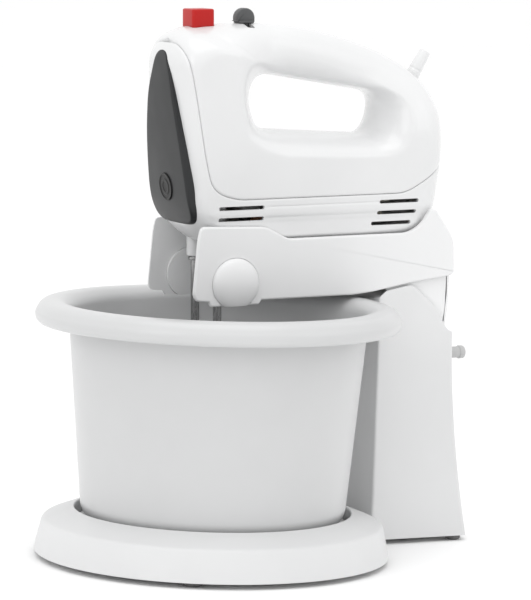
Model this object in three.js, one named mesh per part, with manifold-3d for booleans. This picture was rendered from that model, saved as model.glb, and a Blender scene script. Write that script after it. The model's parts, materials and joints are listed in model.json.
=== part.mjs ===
// Hand mixer on its bowl stand, in millimetres, +Z up, nose towards -X, column at +X.
// The stand carries a turning bowl; the mixer sits on a tilting arm, set to one side of the bowl's axis.
import * as THREE from 'three';
import { mergeVertices } from 'three/addons/utils/BufferGeometryUtils.js';
import Module from 'manifold-3d';

const wasm = await Module();
wasm.setup();

// ---------------------------------------------------------------- driving dimensions
const gap = 0.3;                 // clearance between pieces that touch
const bowlX = -40;               // bowl axis, so that the whole object is centred on X = 0
const armY = 42;                 // centre plane of the column, arm and mixer
const armHalf = 36;              // half the width of the column and of the arm
const droop = THREE.MathUtils.degToRad(1.9);   // the lowered arm rests this far nose down

const base = {
  skirtR: 113.6, topR: 108.6, crownR: 88.6, wellR: 87.8,
  footZ: 3.5, edgeZ: 23.7, crownZ: 31.4, floorZ: 15, floorUnderZ: 12.4, wall: 2.8,
};
const bowl = { bottomZ: 24.6, bottomR: 84.3, topR: 94.4, wall: 2, rimR: 116.3, skirtZ: 149.2, rimZ: 163.4 };
const column = { frontR: 118.9, wall: 3, bottomZ: 3.5, rearTopZ: 140, rearBulge: 6 };
const pivot = { x: 141, z: 160 };              // hinge axis, measured from the bowl axis and the table
const arm = { wall: 2.8, deckTop: 38.3, deckThick: 3, crossX: -112, frontX: -155.5, rearX: 33.4 };
const mixer = {
  x: -130, z: 38.8,              // spindle plane and underside, from the hinge axis
  half: 34, wall: 2.5, spindleY: 16.5, shaftZ: 34,
};
const steelPin = 4;              // radius of the hinge pin

// ---------------------------------------------------------------- materials
const paint = (name, color, roughness, metalness) => {
  return new THREE.MeshStandardMaterial({ name, color, roughness, metalness });
};
const white = paint('gloss_white', 0xf2f3f4, 0.22, 0);
const standWhite = paint('stand_white', 0xe9eaea, 0.4, 0);
const milky = paint('milky_white', 0xe4e8ea, 0.3, 0);
const dark = paint('dark_grey', 0x5d6062, 0.45, 0);
const red = paint('signal_red', 0xc81414, 0.35, 0);
const steel = paint('steel', 0xb9bcc0, 0.3, 1);
const rubber = paint('rubber', 0x77797a, 0.85, 0);
const copper = paint('copper', 0xb06a3a, 0.4, 1);
const laminate = paint('laminated_steel', 0x7f8388, 0.5, 1);
const natural = paint('natural_nylon', 0xdcd9cf, 0.5, 0);
const board = paint('switch_body', 0x2a2c2e, 0.5, 0);

// ---------------------------------------------------------------- geometry helpers
function signedVolume(positions, index) {
  const a = new THREE.Vector3();
  const b = new THREE.Vector3();
  const c = new THREE.Vector3();
  let sum = 0;
  for (let i = 0; i < index.length; i += 3) {
    a.fromArray(positions, 3 * index[i]);
    b.fromArray(positions, 3 * index[i + 1]);
    c.fromArray(positions, 3 * index[i + 2]);
    sum += a.dot(b.cross(c)) / 6;
  }
  return sum;
}

// A three.js geometry as a manifold solid, turned right side out if it needs it.
function solid(geometry) {
  const plain = geometry.clone();
  plain.deleteAttribute('normal');
  plain.deleteAttribute('uv');
  const merged = mergeVertices(plain, 1e-4);
  const positions = new Float32Array(merged.attributes.position.array);
  const index = new Uint32Array(merged.index.array);
  if (signedVolume(positions, index) < 0) {
    for (let i = 0; i < index.length; i += 3) {
      [index[i], index[i + 1]] = [index[i + 1], index[i]];
    }
  }
  return new wasm.Manifold(new wasm.Mesh({ numProp: 3, vertProperties: positions, triVerts: index }));
}

// A manifold solid as a three.js geometry.
function geometryOf(body) {
  const out = body.getMesh();
  const geometry = new THREE.BufferGeometry();
  geometry.setAttribute('position', new THREE.BufferAttribute(new Float32Array(out.vertProperties), 3));
  geometry.setIndex(new THREE.BufferAttribute(new Uint32Array(out.triVerts), 1));
  geometry.computeVertexNormals();
  return geometry;
}

const unite = (first, ...rest) => rest.reduce((whole, next) => whole.add(next), first);
const cut = (first, ...rest) => rest.reduce((whole, next) => whole.subtract(next), first);

// A closed outline of [x, y, corner radius] points.
function outline(points) {
  const shape = new THREE.Shape();
  points.forEach(([x, y, corner = 0], i) => {
    const [px, py] = points[(i + points.length - 1) % points.length];
    const [nx, ny] = points[(i + 1) % points.length];
    const back = Math.hypot(px - x, py - y);
    const ahead = Math.hypot(nx - x, ny - y);
    const r = Math.min(corner, 0.49 * back, 0.49 * ahead);
    const start = [x + (px - x) * r / back, y + (py - y) * r / back];
    const end = [x + (nx - x) * r / ahead, y + (ny - y) * r / ahead];
    if (i === 0) shape.moveTo(...start);
    else shape.lineTo(...start);
    if (r > 0) shape.quadraticCurveTo(x, y, ...end);
  });
  shape.closePath();
  return shape;
}

const rectangle = (x0, y0, x1, y1, r = 0) => outline([[x0, y0, r], [x1, y0, r], [x1, y1, r], [x0, y1, r]]);

function extrude(shape, depth, curveSegments = 4) {
  return new THREE.ExtrudeGeometry(shape, { depth, bevelEnabled: false, curveSegments });
}

// A side view outline (x, z) given width across Y.
function across(shape, y0, y1, curveSegments) {
  const geometry = extrude(shape, y1 - y0, curveSegments);
  geometry.rotateX(Math.PI / 2);
  geometry.translate(0, y1, 0);
  return solid(geometry);
}

// A plan outline (x, y) given height along Z.
function upright(shape, z0, z1, curveSegments) {
  const geometry = extrude(shape, z1 - z0, curveSegments);
  geometry.translate(0, 0, z0);
  return solid(geometry);
}

// A front view outline (y, z) given length along X.
function along(shape, x0, x1, curveSegments) {
  const geometry = extrude(shape, x1 - x0, curveSegments);
  const turn = new THREE.Matrix4().makeBasis(
    new THREE.Vector3(0, 1, 0),
    new THREE.Vector3(0, 0, 1),
    new THREE.Vector3(1, 0, 0),
  );
  geometry.applyMatrix4(turn);
  geometry.translate(x0, 0, 0);
  return solid(geometry);
}

// A closed profile of [radius, z] turned about the Z axis.
function turned(profile, segments = 32) {
  const points = profile.map(([r, z]) => new THREE.Vector2(r, z));
  const onAxis = profile[0][0] === 0 && profile[profile.length - 1][0] === 0;
  if (!onAxis) points.push(points[0].clone());
  const geometry = new THREE.LatheGeometry(points, segments);
  geometry.rotateX(Math.PI / 2);
  return solid(geometry);
}

const disc = (r, z0, z1, segments = 24) => turned([[0, z0], [r, z0], [r, z1], [0, z1]], segments);
const tube = (r0, r1, z0, z1, segments = 24) => turned([[r0, z0], [r1, z0], [r1, z1], [r0, z1]], segments);

// Turns something built along Z so that it lies along X or Y.
const layAlongX = (body) => body.rotate([0, 90, 0]);
const layAlongY = (body) => body.rotate([-90, 0, 0]);

// A closed skin through a stack of plan outlines, each an equal number of [x, y, z] points.
function skin(loops) {
  const count = loops[0].length;
  const positions = loops.flat(2);
  const index = [];
  for (let row = 0; row < loops.length - 1; row++) {
    for (let i = 0; i < count; i++) {
      const a = row * count + i;
      const b = row * count + (i + 1) % count;
      index.push(a, b, b + count, a, b + count, a + count);
    }
  }
  const cap = (loop, first, flip) => {
    const flat = loop.map(([x, y]) => new THREE.Vector2(x, y));
    for (const [a, b, c] of THREE.ShapeUtils.triangulateShape(flat, [])) {
      index.push(...(flip ? [first + c, first + b, first + a] : [first + a, first + b, first + c]));
    }
  };
  const last = loops.length - 1;
  const counterClockwise = !THREE.ShapeUtils.isClockWise(loops[0].map(([x, y]) => new THREE.Vector2(x, y)));
  cap(loops[0], 0, counterClockwise);
  cap(loops[last], last * count, !counterClockwise);
  const geometry = new THREE.BufferGeometry();
  geometry.setAttribute('position', new THREE.Float32BufferAttribute(positions, 3));
  geometry.setIndex(index);
  return solid(geometry);
}

// A round wire swept along a smooth path; closed paths join on to themselves.
function wire(points, radius, steps, closed = false, sides = 8) {
  const path = new THREE.CatmullRomCurve3(points.map((p) => new THREE.Vector3(...p)), closed);
  const section = new THREE.Shape();
  for (let i = 0; i < sides; i++) {
    const turn = 2 * Math.PI * i / sides;
    const at = [radius * Math.cos(turn), radius * Math.sin(turn)];
    if (i === 0) section.moveTo(...at);
    else section.lineTo(...at);
  }
  section.closePath();
  return solid(new THREE.ExtrudeGeometry(section, { steps, extrudePath: path, bevelEnabled: false }));
}

// Adds one named piece to a group.
function piece(group, name, body, material, place = [0, 0, 0]) {
  const mesh = new THREE.Mesh(geometryOf(body), material);
  mesh.name = name;
  mesh.position.set(...place);
  group.add(mesh);
  return mesh;
}

// A pan head screw standing head down at z = 0, its shank pointing up.
function screw(headR, headHeight, shankR, length) {
  return turned([[0, 0], [headR, 0], [headR, headHeight], [shankR, headHeight], [shankR, length], [0, length]], 14);
}

const onCircle = (radius, degrees) => {
  const turn = THREE.MathUtils.degToRad(degrees);
  return [radius * Math.cos(turn), radius * Math.sin(turn)];
};

// ---------------------------------------------------------------- the stand's base
const footAngles = [238, 358, 118];
const bossAngles = [30, 150, 270];
const bossCircle = 60;
const plateZ = 3.8;
const plateThick = 2;

function baseShell() {
  const under = base.floorUnderZ;
  const shell = turned([
    [base.skirtR, base.footZ],
    [base.topR + 1.4, base.edgeZ - 1.7],
    [base.topR, base.edgeZ],
    [base.crownR + 1.6, base.crownZ],
    [base.crownR, base.crownZ],
    [base.wellR, base.crownZ - 0.9],
    [base.wellR, base.floorZ],
    [3.3, base.floorZ],
    [3.3, 7.5],
    [8, 7.5],
    [8, under],
    [base.wellR + base.wall, under],
    [base.wellR + base.wall, base.crownZ - base.wall],
    [base.topR - 1.6, base.edgeZ - base.wall],
    [base.skirtR - base.wall, base.footZ],
  ], 40);
  // the tongue that the column stands on
  const tongue = upright(rectangle(base.wellR + 1, armY - 32, 182, armY + 32, 4), under - 3, under);
  const bosses = bossAngles.map((angle) => {
    const [x, y] = onCircle(bossCircle, angle);
    return disc(4.5, plateZ + plateThick + gap, under + 0.5, 16).translate([x, y, 0]);
  });
  const bores = bossAngles.map((angle) => {
    const [x, y] = onCircle(bossCircle, angle);
    return disc(1.8, plateZ, under - 1, 12).translate([x, y, 0]);
  });
  return cut(unite(shell, tongue, ...bosses), ...bores, columnScrewHoles());
}

// Two holes through the tongue for the screws that hold the column down.
function columnScrewHoles() {
  const holes = [-1, 1].map((side) => disc(2.1, 0, base.floorZ + 1, 12).translate([150, armY + side * 24, 0]));
  return unite(...holes);
}

function basePlate() {
  const plate = tube(10, base.skirtR - base.wall - 1.6, plateZ, plateZ + plateThick, 40);
  const holes = bossAngles.map((angle) => {
    const [x, y] = onCircle(bossCircle, angle);
    return disc(1.9, 0, 10, 12).translate([x, y, 0]);
  });
  return cut(plate, ...holes);
}

function buildBase(stand) {
  piece(stand, 'base_shell', baseShell(), standWhite);
  piece(stand, 'base_plate', basePlate(), standWhite);
  footAngles.forEach((angle, i) => {
    const foot = turned([[0, 0], [5.4, 0], [6.4, 1.2], [6.4, plateZ - gap], [0, plateZ - gap]], 20);
    piece(stand, `base_foot_${i + 1}`, foot, rubber, [...onCircle(101, angle), 0]);
  });
  bossAngles.forEach((angle, i) => {
    const at = [...onCircle(bossCircle, angle), plateZ - gap - 1.4];
    piece(stand, `base_screw_${i + 1}`, screw(3.2, 1.4, 1.5, 8), steel, at);
  });
}

// ---------------------------------------------------------------- turntable and bowl
function buildTurntable(stand) {
  const topZ = bowl.bottomZ - gap;
  const plate = turned([
    [3.4, 16], [9, 16], [9, 19], [70, 19], [70, 17.8], [73, 17.8], [73, 19], [85.6, 19.6], [86.2, 20.6],
    [86.2, topZ - 1], [85.2, topZ], [3.4, topZ],
  ], 36);
  piece(stand, 'turntable', plate, standWhite);
  piece(stand, 'turntable_glide_ring', tube(54, 62, base.floorZ + gap, 19 - gap, 32), natural);
  const spindle = turned([[0, 6.4], [2.9, 6.4], [3.0, 7], [3.0, 22.6], [2.5, 23.2], [0, 23.2]], 20);
  piece(stand, 'turntable_spindle', spindle, steel);
}

function bowlBody() {
  const b = bowl;
  return turned([
    [0, b.bottomZ], [b.bottomR - 7, b.bottomZ], [b.bottomR - 2, b.bottomZ + 1.2], [b.bottomR, b.bottomZ + 6],
    [b.topR, b.skirtZ], [b.topR + 0.7, 156], [b.topR + 3.8, b.rimZ - 3.6], [b.topR + 9, b.rimZ - b.wall],
    [107.4, b.rimZ - b.wall], [112, b.rimZ - 4.2], [113.9, 156], [113.4, 152.4], [111.9, b.skirtZ + 1],
    [113, b.skirtZ], [115.2, 151.2], [b.rimR, 155], [115.4, b.rimZ - 4.2], [112, b.rimZ - 1.2], [106, b.rimZ],
    [101, b.rimZ - 0.2], [95.8, b.rimZ - 1.8], [b.topR - 0.9, b.rimZ - 5], [b.topR - b.wall, 153],
    [b.topR - b.wall, b.skirtZ],
    [b.bottomR - b.wall + 0.4, b.bottomZ + 14], [b.bottomR - 7, b.bottomZ + 5], [b.bottomR - 14, b.bottomZ + 2.4],
    [0, b.bottomZ + 2.4],
  ], 40);
}

// ---------------------------------------------------------------- the column
// Where the column's rear corner stands at a height: it flares towards the table.
const rearAt = (z) => 174.3 + 16 * ((column.rearTopZ - z) / (column.rearTopZ - column.bottomZ)) ** 1.75;

// The column's plan at a height, shrunk by an inset: concave in front round the bowl, bulged behind.
function columnPlan(z, inset, steps = 5) {
  const half = armHalf - inset;
  const front = column.frontR + inset;
  const rear = rearAt(Math.min(z, column.rearTopZ)) - inset;
  const loop = [];
  for (let i = 0; i <= steps; i++) {
    const y = -half + 2 * half * i / steps;
    loop.push([rear + column.rearBulge * (1 - (y / half) ** 2), y, z]);
  }
  for (let i = steps; i >= 0; i--) {
    const y = -half + 2 * half * i / steps;
    loop.push([Math.sqrt(front ** 2 - (armY + y) ** 2), y, z]);
  }
  return loop;
}

function columnShell() {
  const topZ = 180;
  const heights = [column.bottomZ, 16, 36, 62, 98, column.rearTopZ, topZ];
  const outer = skin(heights.map((z) => columnPlan(z, 0)));
  const inner = skin([0, ...heights.slice(1, -1), topZ + 1].map((z) => columnPlan(z, column.wall)));
  // everything above the ears' top edge, their slanted rear edge and the rear wall's top
  const above = across(outline([
    [60, 161.5], [98, 163.2], [114, 166.2, 2], [143.4, 171.4, 3], [160.7, 155.4], [168.8, 141.6, 3],
    [171, column.rearTopZ], [220, column.rearTopZ], [220, 200], [60, 200],
  ]), -armHalf - 5, armHalf + 5);
  const tongueSlot = across(rectangle(60, 0, 130, base.floorUnderZ + 0.5), -32.5, 32.5);
  const pinBores = layAlongY(disc(steelPin + gap, -armHalf + 1.1, armHalf - 1.1, 24)).translate([pivot.x, 0, pivot.z]);
  const buttonHole = layAlongX(disc(5.1, 170, 190, 20)).translate([0, tiltButton.y, tiltButton.z]);
  // two posts inside, for the screws that come up through the base's tongue
  const posts = [-1, 1].map((side) => columnPost(side));
  const frontLip = across(outline([[100, 158, 1], [118, 158], [122, 166.2], [100, 166.2]]), -armHalf, armHalf);
  const shell = cut(outer, inner, above, frontLip, tongueSlot, pinBores, buttonHole);
  return unite(shell, ...posts);
}

function columnPost(side) {
  const bottomZ = base.floorUnderZ + gap;
  const web = upright(rectangle(147.5, 24, 152.5, armHalf - 1), bottomZ, 30);
  const post = disc(4.5, bottomZ, 30, 16).translate([150, 24, 0]);
  const bore = disc(1.8, bottomZ - 1, 26, 12).translate([150, 24, 0]);
  const one = cut(unite(web, post), bore);
  return side > 0 ? one : one.mirror([0, 1, 0]);
}

const tiltButton = { y: -14, z: 123, r: 4.4, tipX: 196.3 };

function buildColumn(stand) {
  const group = new THREE.Group();
  group.position.y = armY;
  stand.add(group);
  piece(group, 'column_shell', columnShell(), standWhite);
  const floor = cut(
    upright(rectangle(124, -32, 188, 32, 4), plateZ, plateZ + plateThick),
    ...[-1, 1].map((side) => disc(2.1, 0, 10, 12).translate([150, side * 24, 0])),
  );
  piece(group, 'column_plate', floor, standWhite);
  for (const [side, word] of [[-1, 'near'], [1, 'far']]) {
    const foot = turned([[0, 0], [4.4, 0], [5, 1], [5, plateZ - gap], [0, plateZ - gap]], 18);
    piece(group, `column_foot_${word}`, foot, rubber, [184, side * 29, 0]);
    piece(group, `column_screw_${word}`, screw(3.4, 1.6, 1.5, 22), steel, [150, side * 24, 1.9]);
  }
  buildTiltRelease(group);
  const pin = layAlongY(disc(steelPin, -armHalf + 1.5, armHalf - 1.5, 24));
  piece(group, 'hinge_pin', pin, steel, [pivot.x, 0, pivot.z]);
}

// The round button on the column's back, and the catch bar it pushes under the arm's knuckle.
function buildTiltRelease(group) {
  const { y, z, r, tipX } = tiltButton;
  const length = tipX - 170;
  const knob = layAlongX(turned([
    [0, -length], [2.4, -length], [2.4, -13.4], [r - 0.6, -13.4], [r - 0.6, -5.4], [r, -5], [r, -0.8],
    [r - 0.8, 0], [0, 0],
  ], 20));
  piece(group, 'tilt_button', knob, standWhite, [tipX, y, z]);
  const hook = outline([[150, 116], [169.7, 116], [169.7, 130], [166.5, 130], [166.5, 119.5], [150, 119.5]]);
  piece(group, 'tilt_catch', across(hook, -22, 22), steel);
}

// ---------------------------------------------------------------- the tilting arm (from the hinge axis)
function armCradle() {
  const cheeks = across(outline([
    [arm.frontX, 12, 4], [-152, 47.4, 3], [-150, 55.4, 3], [-104.3, 53.6, 4], [-88.5, 45.3, 3], [-1, 45.3, 6],
    [8, 50, 6], [15.5, 60, 2], [19, 60, 2], [arm.rearX - 0.6, 40, 6], [arm.rearX, 18], [30.6, 15.7], [3, 12.7],
    [-26.6, 8], [-41.3, 6.6], [-107.5, 6.8], [-109.5, 4.1, 1], [-143.5, 4.1, 1], [-144.9, 7.3], [-153.4, 8, 2],
  ]), -armHalf, armHalf);
  const inside = armHalf - arm.wall;
  const tray = across(outline([
    [-170, arm.deckTop], [arm.rearX - 8, arm.deckTop, 6], [arm.rearX - 3, 45, 6], [arm.rearX - 5.5, 50],
    [16.5, 66], [16.5, 80], [-170, 80],
  ]), -inside, inside);
  const mouth = across(rectangle(-170, -5, arm.crossX, 60), -inside, inside);
  const hollow = across(outline([
    [arm.crossX + 3, 0], [arm.rearX - 3, 0], [arm.rearX - 3, arm.deckTop - arm.deckThick],
    [arm.crossX + 3, arm.deckTop - arm.deckThick],
  ]), -inside, inside);
  const buttonHoles = layAlongY(disc(domeR + 0.4, -armHalf - 1, armHalf + 1, 32)).translate([dome.x, 0, dome.z]);
  const shell = cut(cheeks, tray, mouth, hollow, buttonHoles);
  return cut(unite(shell, knuckle()), pinBore());
}

const pinBore = () => layAlongY(disc(steelPin + gap, -armHalf - 1, armHalf + 1, 24));

// Two side plates, a drum round the pin and a rear skirt, hanging between the column's ears.
function knuckle() {
  const half = armHalf - column.wall - 0.6;
  const skirtThick = 3;
  const back = [[31.4, 13], [31, 4], [30.4, -6], [28.4, -17]];
  const front = back.map(([x, z]) => [x - skirtThick, z]).reverse();
  const skirt = across(outline([[31.4, 36], ...back, ...front, [28.4, 36]]), -half, half);
  const sides = [-1, 1].map((side) => {
    const plate = outline([[-22, 36], [31, 36], ...back, [12, -16, 6], [-12, -10, 6], [-15, 8, 6]]);
    return side < 0 ? across(plate, -half, -half + 2.5) : across(plate, half - 2.5, half);
  });
  const drum = layAlongY(tube(steelPin + gap, 10.5, -half, half, 28));
  return unite(skirt, ...sides, drum);
}

const domeR = 16.4;
const dome = { x: -126.2, z: 18.2 };

// A domed push button cut flat below, with a stem that reaches in to the mixer's side.
function releaseButton() {
  const face = [];
  for (let i = 0; i <= 4; i++) {
    const turn = Math.PI / 2 * i / 4;
    face.push([domeR * Math.sin(turn), armHalf - 0.4 + 6.6 * Math.cos(turn)]);
  }
  const cap = layAlongY(turned([[0, armHalf - 5], [domeR, armHalf - 5], ...face.reverse()], 28).mirror([0, 0, 1]));
  const flat = across(rectangle(-20, -20, 20, -14.1), -60, 0);
  return cut(cap, flat);
}

function armCover() {
  const inside = armHalf - arm.wall - gap;
  const sheet = across(outline([
    [arm.crossX + 3.3, 8.2], [-41, 8.2], [-26.6, 9.6], [-25, 12], [-25, 12.6], [-27, 12], [-41, 10.4],
    [arm.crossX + 3.3, 10.4],
  ]), -inside, inside);
  return sheet;
}

function buildArm(stand) {
  const group = new THREE.Group();
  group.position.set(pivot.x, armY, pivot.z);
  group.rotation.y = -droop;
  stand.add(group);
  piece(group, 'arm_cradle', armCradle(), standWhite);
  piece(group, 'arm_cover', armCover(), standWhite);
  const button = releaseButton();
  piece(group, 'release_button_near', button, white, [dome.x, 0, dome.z]);
  piece(group, 'release_button_far', button.mirror([0, 1, 0]), white, [dome.x, 0, dome.z]);
  return group;
}

// ---------------------------------------------------------------- the hand mixer (from its spindle plane)
// Side view of the body: nose, flat top, sloping back, tail and underside.
const bodyCurve = new THREE.CatmullRomCurve3([
  [-29.3, 76], [-30.5, 95], [-31.5, 112], [-31.8, 122], [-29.4, 131], [-24.8, 137.2], [-18, 140.6], [-8, 142.1],
  [14, 142.8], [40, 142.4], [70, 138.6], [98, 131.6], [126, 121], [150, 106], [162, 88], [165, 66], [163, 40],
  [157, 16], [143, 2.5], [110, 0], [60, 0], [20, 0], [2, 1.2], [-8, 5], [-16.3, 11], [-21.8, 18], [-24.8, 28],
  [-25.8, 40], [-27.6, 57],
].map(([x, z]) => new THREE.Vector3(x, 0, z)), true, 'centripetal');

// The finger opening, on the centre plane.
const opening = [[24, 95, 9], [35, 111, 12], [122, 96, 13], [118, 69.5, 13], [31, 75.5, 12]];
const openingCentre = { x: 72, z: 90 };

// Where a ray from the opening's centre meets a closed polygon.
function rayHit(direction, polygon) {
  let best = Infinity;
  polygon.forEach((a, i) => {
    const b = polygon[(i + 1) % polygon.length];
    const ex = b.x - a.x;
    const ey = b.y - a.y;
    const ax = a.x - openingCentre.x;
    const ay = a.y - openingCentre.z;
    const det = direction.x * ey - direction.y * ex;
    if (Math.abs(det) < 1e-9) return;
    const far = (ax * ey - ay * ex) / det;
    const part = (ax * direction.y - ay * direction.x) / det;
    if (far > 0 && part >= -1e-9 && part <= 1 + 1e-9) best = Math.min(best, far);
  });
  return best;
}

const smooth = (low, high, value) => {
  const t = THREE.MathUtils.clamp((value - low) / (high - low), 0, 1);
  return t * t * (3 - 2 * t);
};
const quarterRound = (depth, radius) => {
  const t = THREE.MathUtils.clamp(depth / radius, 0, 1);
  return Math.sqrt(1 - (1 - t) ** 2);
};

// The body's half width well away from its edges: a little less in the arm's tray, slim at the grip.
function fullHalf(x, z) {
  const slim = smooth(68, 112, z) * smooth(4, 44, x) * (1 - 0.45 * smooth(112, 150, x));
  const seated = 1.7 * (1 - smooth(16, 24, z));
  return mixer.half - 17.5 * slim - seated;
}

// How far from its outline the body takes to reach full width, by the way the outline faces.
function edgeRadius(nx, nz, x) {
  const nose = 13 * Math.max(0, -nx) ** 1.5;
  const tail = 22 * Math.max(0, nx) ** 1.5;
  const top = (18 + 20 * smooth(45, 0, x)) * Math.max(0, nz) ** 1.5;
  const under = 9 * Math.max(0, -nz) ** 1.5;
  return Math.max(8, nose + tail + top + under);
}

// The body as a ring round the finger opening, shrunk by an inset.
function mixerBody(inset, around, rows) {
  const hole = outline(opening).getPoints(6);
  const rays = [];
  for (let i = 0; i < around; i++) {
    const at = bodyCurve.getPointAt(i / around);
    const tangent = bodyCurve.getTangentAt(i / around);
    const reach = Math.hypot(at.x - openingCentre.x, at.z - openingCentre.z);
    const way = new THREE.Vector2((at.x - openingCentre.x) / reach, (at.z - openingCentre.z) / reach);
    // the outline's outward normal: bodyCurve runs clockwise as seen from -Y
    const normal = { x: -tangent.z, z: tangent.x };
    const lean = Math.max(0.35, way.x * normal.x + way.y * normal.z);
    rays.push({
      way,
      inner: rayHit(way, hole) + inset,
      outer: reach - inset / lean,
      lean,
      radius: edgeRadius(normal.x, normal.z, at.x) - inset,
    });
  }
  // a point on the skin: an angle along the rounding at the opening (end 0) or at the outline (end 1)
  const flare = 15 - inset;
  const ringPoint = (ray, end, angle, side) => {
    const span = ray.outer - ray.inner;
    const outerReach = ray.radius / ray.lean;
    const squeeze = Math.min(1, 0.98 * span / (flare + outerReach));
    const depthIn = flare * squeeze;
    const depthOut = outerReach * squeeze;
    const rise = 1 - Math.cos(angle);
    const far = end === 0 ? ray.inner + depthIn * rise : ray.outer - depthOut * rise;
    const x = openingCentre.x + ray.way.x * far;
    const z = openingCentre.z + ray.way.y * far;
    const rounding = quarterRound(far - ray.inner, depthIn) * quarterRound(ray.outer - far, depthOut);
    return [x, side * (fullHalf(x, z) - inset) * rounding, z];
  };
  // rows from the opening out to the outline on the near side, then back on the far side
  const nearRows = [];
  for (let i = 0; i <= rows; i++) nearRows.push([0, Math.PI / 2 * i / rows, -1]);
  for (let i = rows; i >= 0; i--) nearRows.push([1, Math.PI / 2 * i / rows, -1]);
  const farRows = nearRows.slice(1, -1).reverse().map(([end, angle]) => [end, angle, 1]);
  const steps = [...nearRows, ...farRows];
  const positions = rays.flatMap((ray) => steps.flatMap(([end, angle, side]) => ringPoint(ray, end, angle, side)));
  const index = [];
  const count = steps.length;
  for (let i = 0; i < around; i++) {
    for (let j = 0; j < count; j++) {
      const a = i * count + j;
      const b = i * count + (j + 1) % count;
      const c = ((i + 1) % around) * count + (j + 1) % count;
      const d = ((i + 1) % around) * count + j;
      index.push(a, b, c, a, c, d);
    }
  }
  const geometry = new THREE.BufferGeometry();
  geometry.setAttribute('position', new THREE.Float32BufferAttribute(positions, 3));
  geometry.setIndex(index);
  return solid(geometry);
}

// The side view region of the handle shell: inside the seam that runs down from the top and along above the vents.
function seamRegion(inset) {
  return across(outline([
    [-29 + inset, 170], [-28 + inset, 133], [-15.6 + inset, 57, 16], [-11 + inset, 38.5, 12], [5, 32.3 + inset, 14],
    [128, 32.3 + inset, 12], [142, 40 + inset, 10], [190, 66 + inset], [190, 170],
  ]), -60, 60);
}

const vents = [
  { x0: -7, x1: 25, z: 27.2 }, { x0: -7, x1: 25, z: 20.1 },
  { x0: 108.5, x1: 137, z: 27.3 }, { x0: 107, x1: 135.5, z: 20.2 }, { x0: 103, x1: 132, z: 13.2 },
];
const eject = { x: -5.6, halfX: 7.7, halfY: 8.6, topZ: 152.6 };
const lever = { x: 26.6, r: 6.4, halfY: 3.4, footZ: 142.7 };
const cord = { x: 148, z: 103 };
const noseLean = 5.5;            // degrees that the nose leans back at the badge

function housingCuts() {
  const slots = vents.flatMap(({ x0, x1, z }) => [-1, 1].map((side) => {
    const slot = rectangle(x0, z - 1.2, x1, z + 1.2, 1.1);
    return side < 0 ? across(slot, -45, -20, 2) : across(slot, 20, 45, 2);
  }));
  const sockets = [-1, 1].map((side) => disc(7.4, -10, 50, 20).translate([0, side * mixer.spindleY, 0]));
  const button = upright(rectangle(
    eject.x - eject.halfX - gap, -eject.halfY - gap, eject.x + eject.halfX + gap, eject.halfY + gap, 2,
  ), 125, 160);
  const slot = upright(rectangle(lever.x - 2.8, -11.4, lever.x + 2.8, 11.4, 1.5), 130, 160);
  const gland = disc(5.2, -20, 20, 20).rotate([0, 32, 0]).translate([cord.x, 0, cord.z]);
  return unite(...slots, ...sockets, button, slot, gland);
}

function buildHousing(group) {
  const outside = mixerBody(0, 44, 3);
  const cavity = mixerBody(mixer.wall, 28, 2);
  const shell = cut(outside, cavity, housingCuts());
  piece(group, 'motor_housing', cut(shell, seamRegion(-0.2)), white);
  piece(group, 'handle_shell', shell.intersect(seamRegion(0.2)), white);
  const skinOver = (grow) => outside.scale([1 + grow / 103, 1 + grow / 34, 1 + grow / 71])
    .translate([-62 * grow / 103, 0, -71 * grow / 71]);
  const panelSide = [[7.5, 126, 6], [16.2, 108], [24.5, 75], [28.6, 40, 12], [28.6, 17.5, 12]];
  const farSide = panelSide.map(([y, z, radius]) => [-y, z, radius]).reverse();
  const teardrop = along(outline([[0, 128, 4], ...panelSide, [0, 15.5], ...farSide]), -60, -2);
  piece(group, 'front_panel', cut(skinOver(2.3).intersect(teardrop), skinOver(0.35)), dark);
  const badge = layAlongX(disc(9, -0.7, 0, 28)).rotate([0, -noseLean, 0]);
  piece(group, 'front_badge', badge, dark, [-28.1, 0, 39.7]);
}

function buildControls(group) {
  const cap = upright(rectangle(
    eject.x - eject.halfX, -eject.halfY, eject.x + eject.halfX, eject.halfY, 2,
  ), 137, eject.topZ);
  const stem = upright(rectangle(eject.x - 3, -4, eject.x + 3, 4), 60, 138);
  piece(group, 'eject_button', unite(cap, stem), red);
  const yoke = unite(
    upright(rectangle(-10, -22, 6, 22, 2), 54, 57),
    upright(rectangle(eject.x - 3, -4, eject.x + 3, 4), 54, 60 - gap),
  );
  piece(group, 'ejector_yoke', yoke, natural);
  const coil = [];
  const turns = 5;
  for (let i = 0; i <= turns * 8; i++) {
    const turn = Math.PI * i / 4;
    coil.push([eject.x + 6.6 * Math.cos(turn), 6.6 * Math.sin(turn), 112 + 23.4 * i / (turns * 8)]);
  }
  piece(group, 'eject_spring', wire(coil, 0.45, turns * 9, false, 4), steel);
  const knob = unite(
    across(outline(halfDisc(lever.r)), -lever.halfY, lever.halfY),
    upright(rectangle(-5.4, -8, 6.6, 8, 2), 0.1, 1.8),
    upright(rectangle(-2.3, -3, 2.3, 3), -9, 0.5),
  );
  piece(group, 'speed_lever', knob, dark, [lever.x, 0, lever.footZ]);
  const frame = cut(
    upright(rectangle(-22, -19, 18, 19, 3), 108.8, 111.5),
    upright(rectangle(eject.x - 3.4, -4.4, eject.x + 3.4, 4.4), 100, 120),
  );
  piece(group, 'control_frame', frame, natural);
  piece(group, 'speed_switch', upright(rectangle(13, -9, 31, 9, 2), 111.8, 132), board);
}

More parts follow.
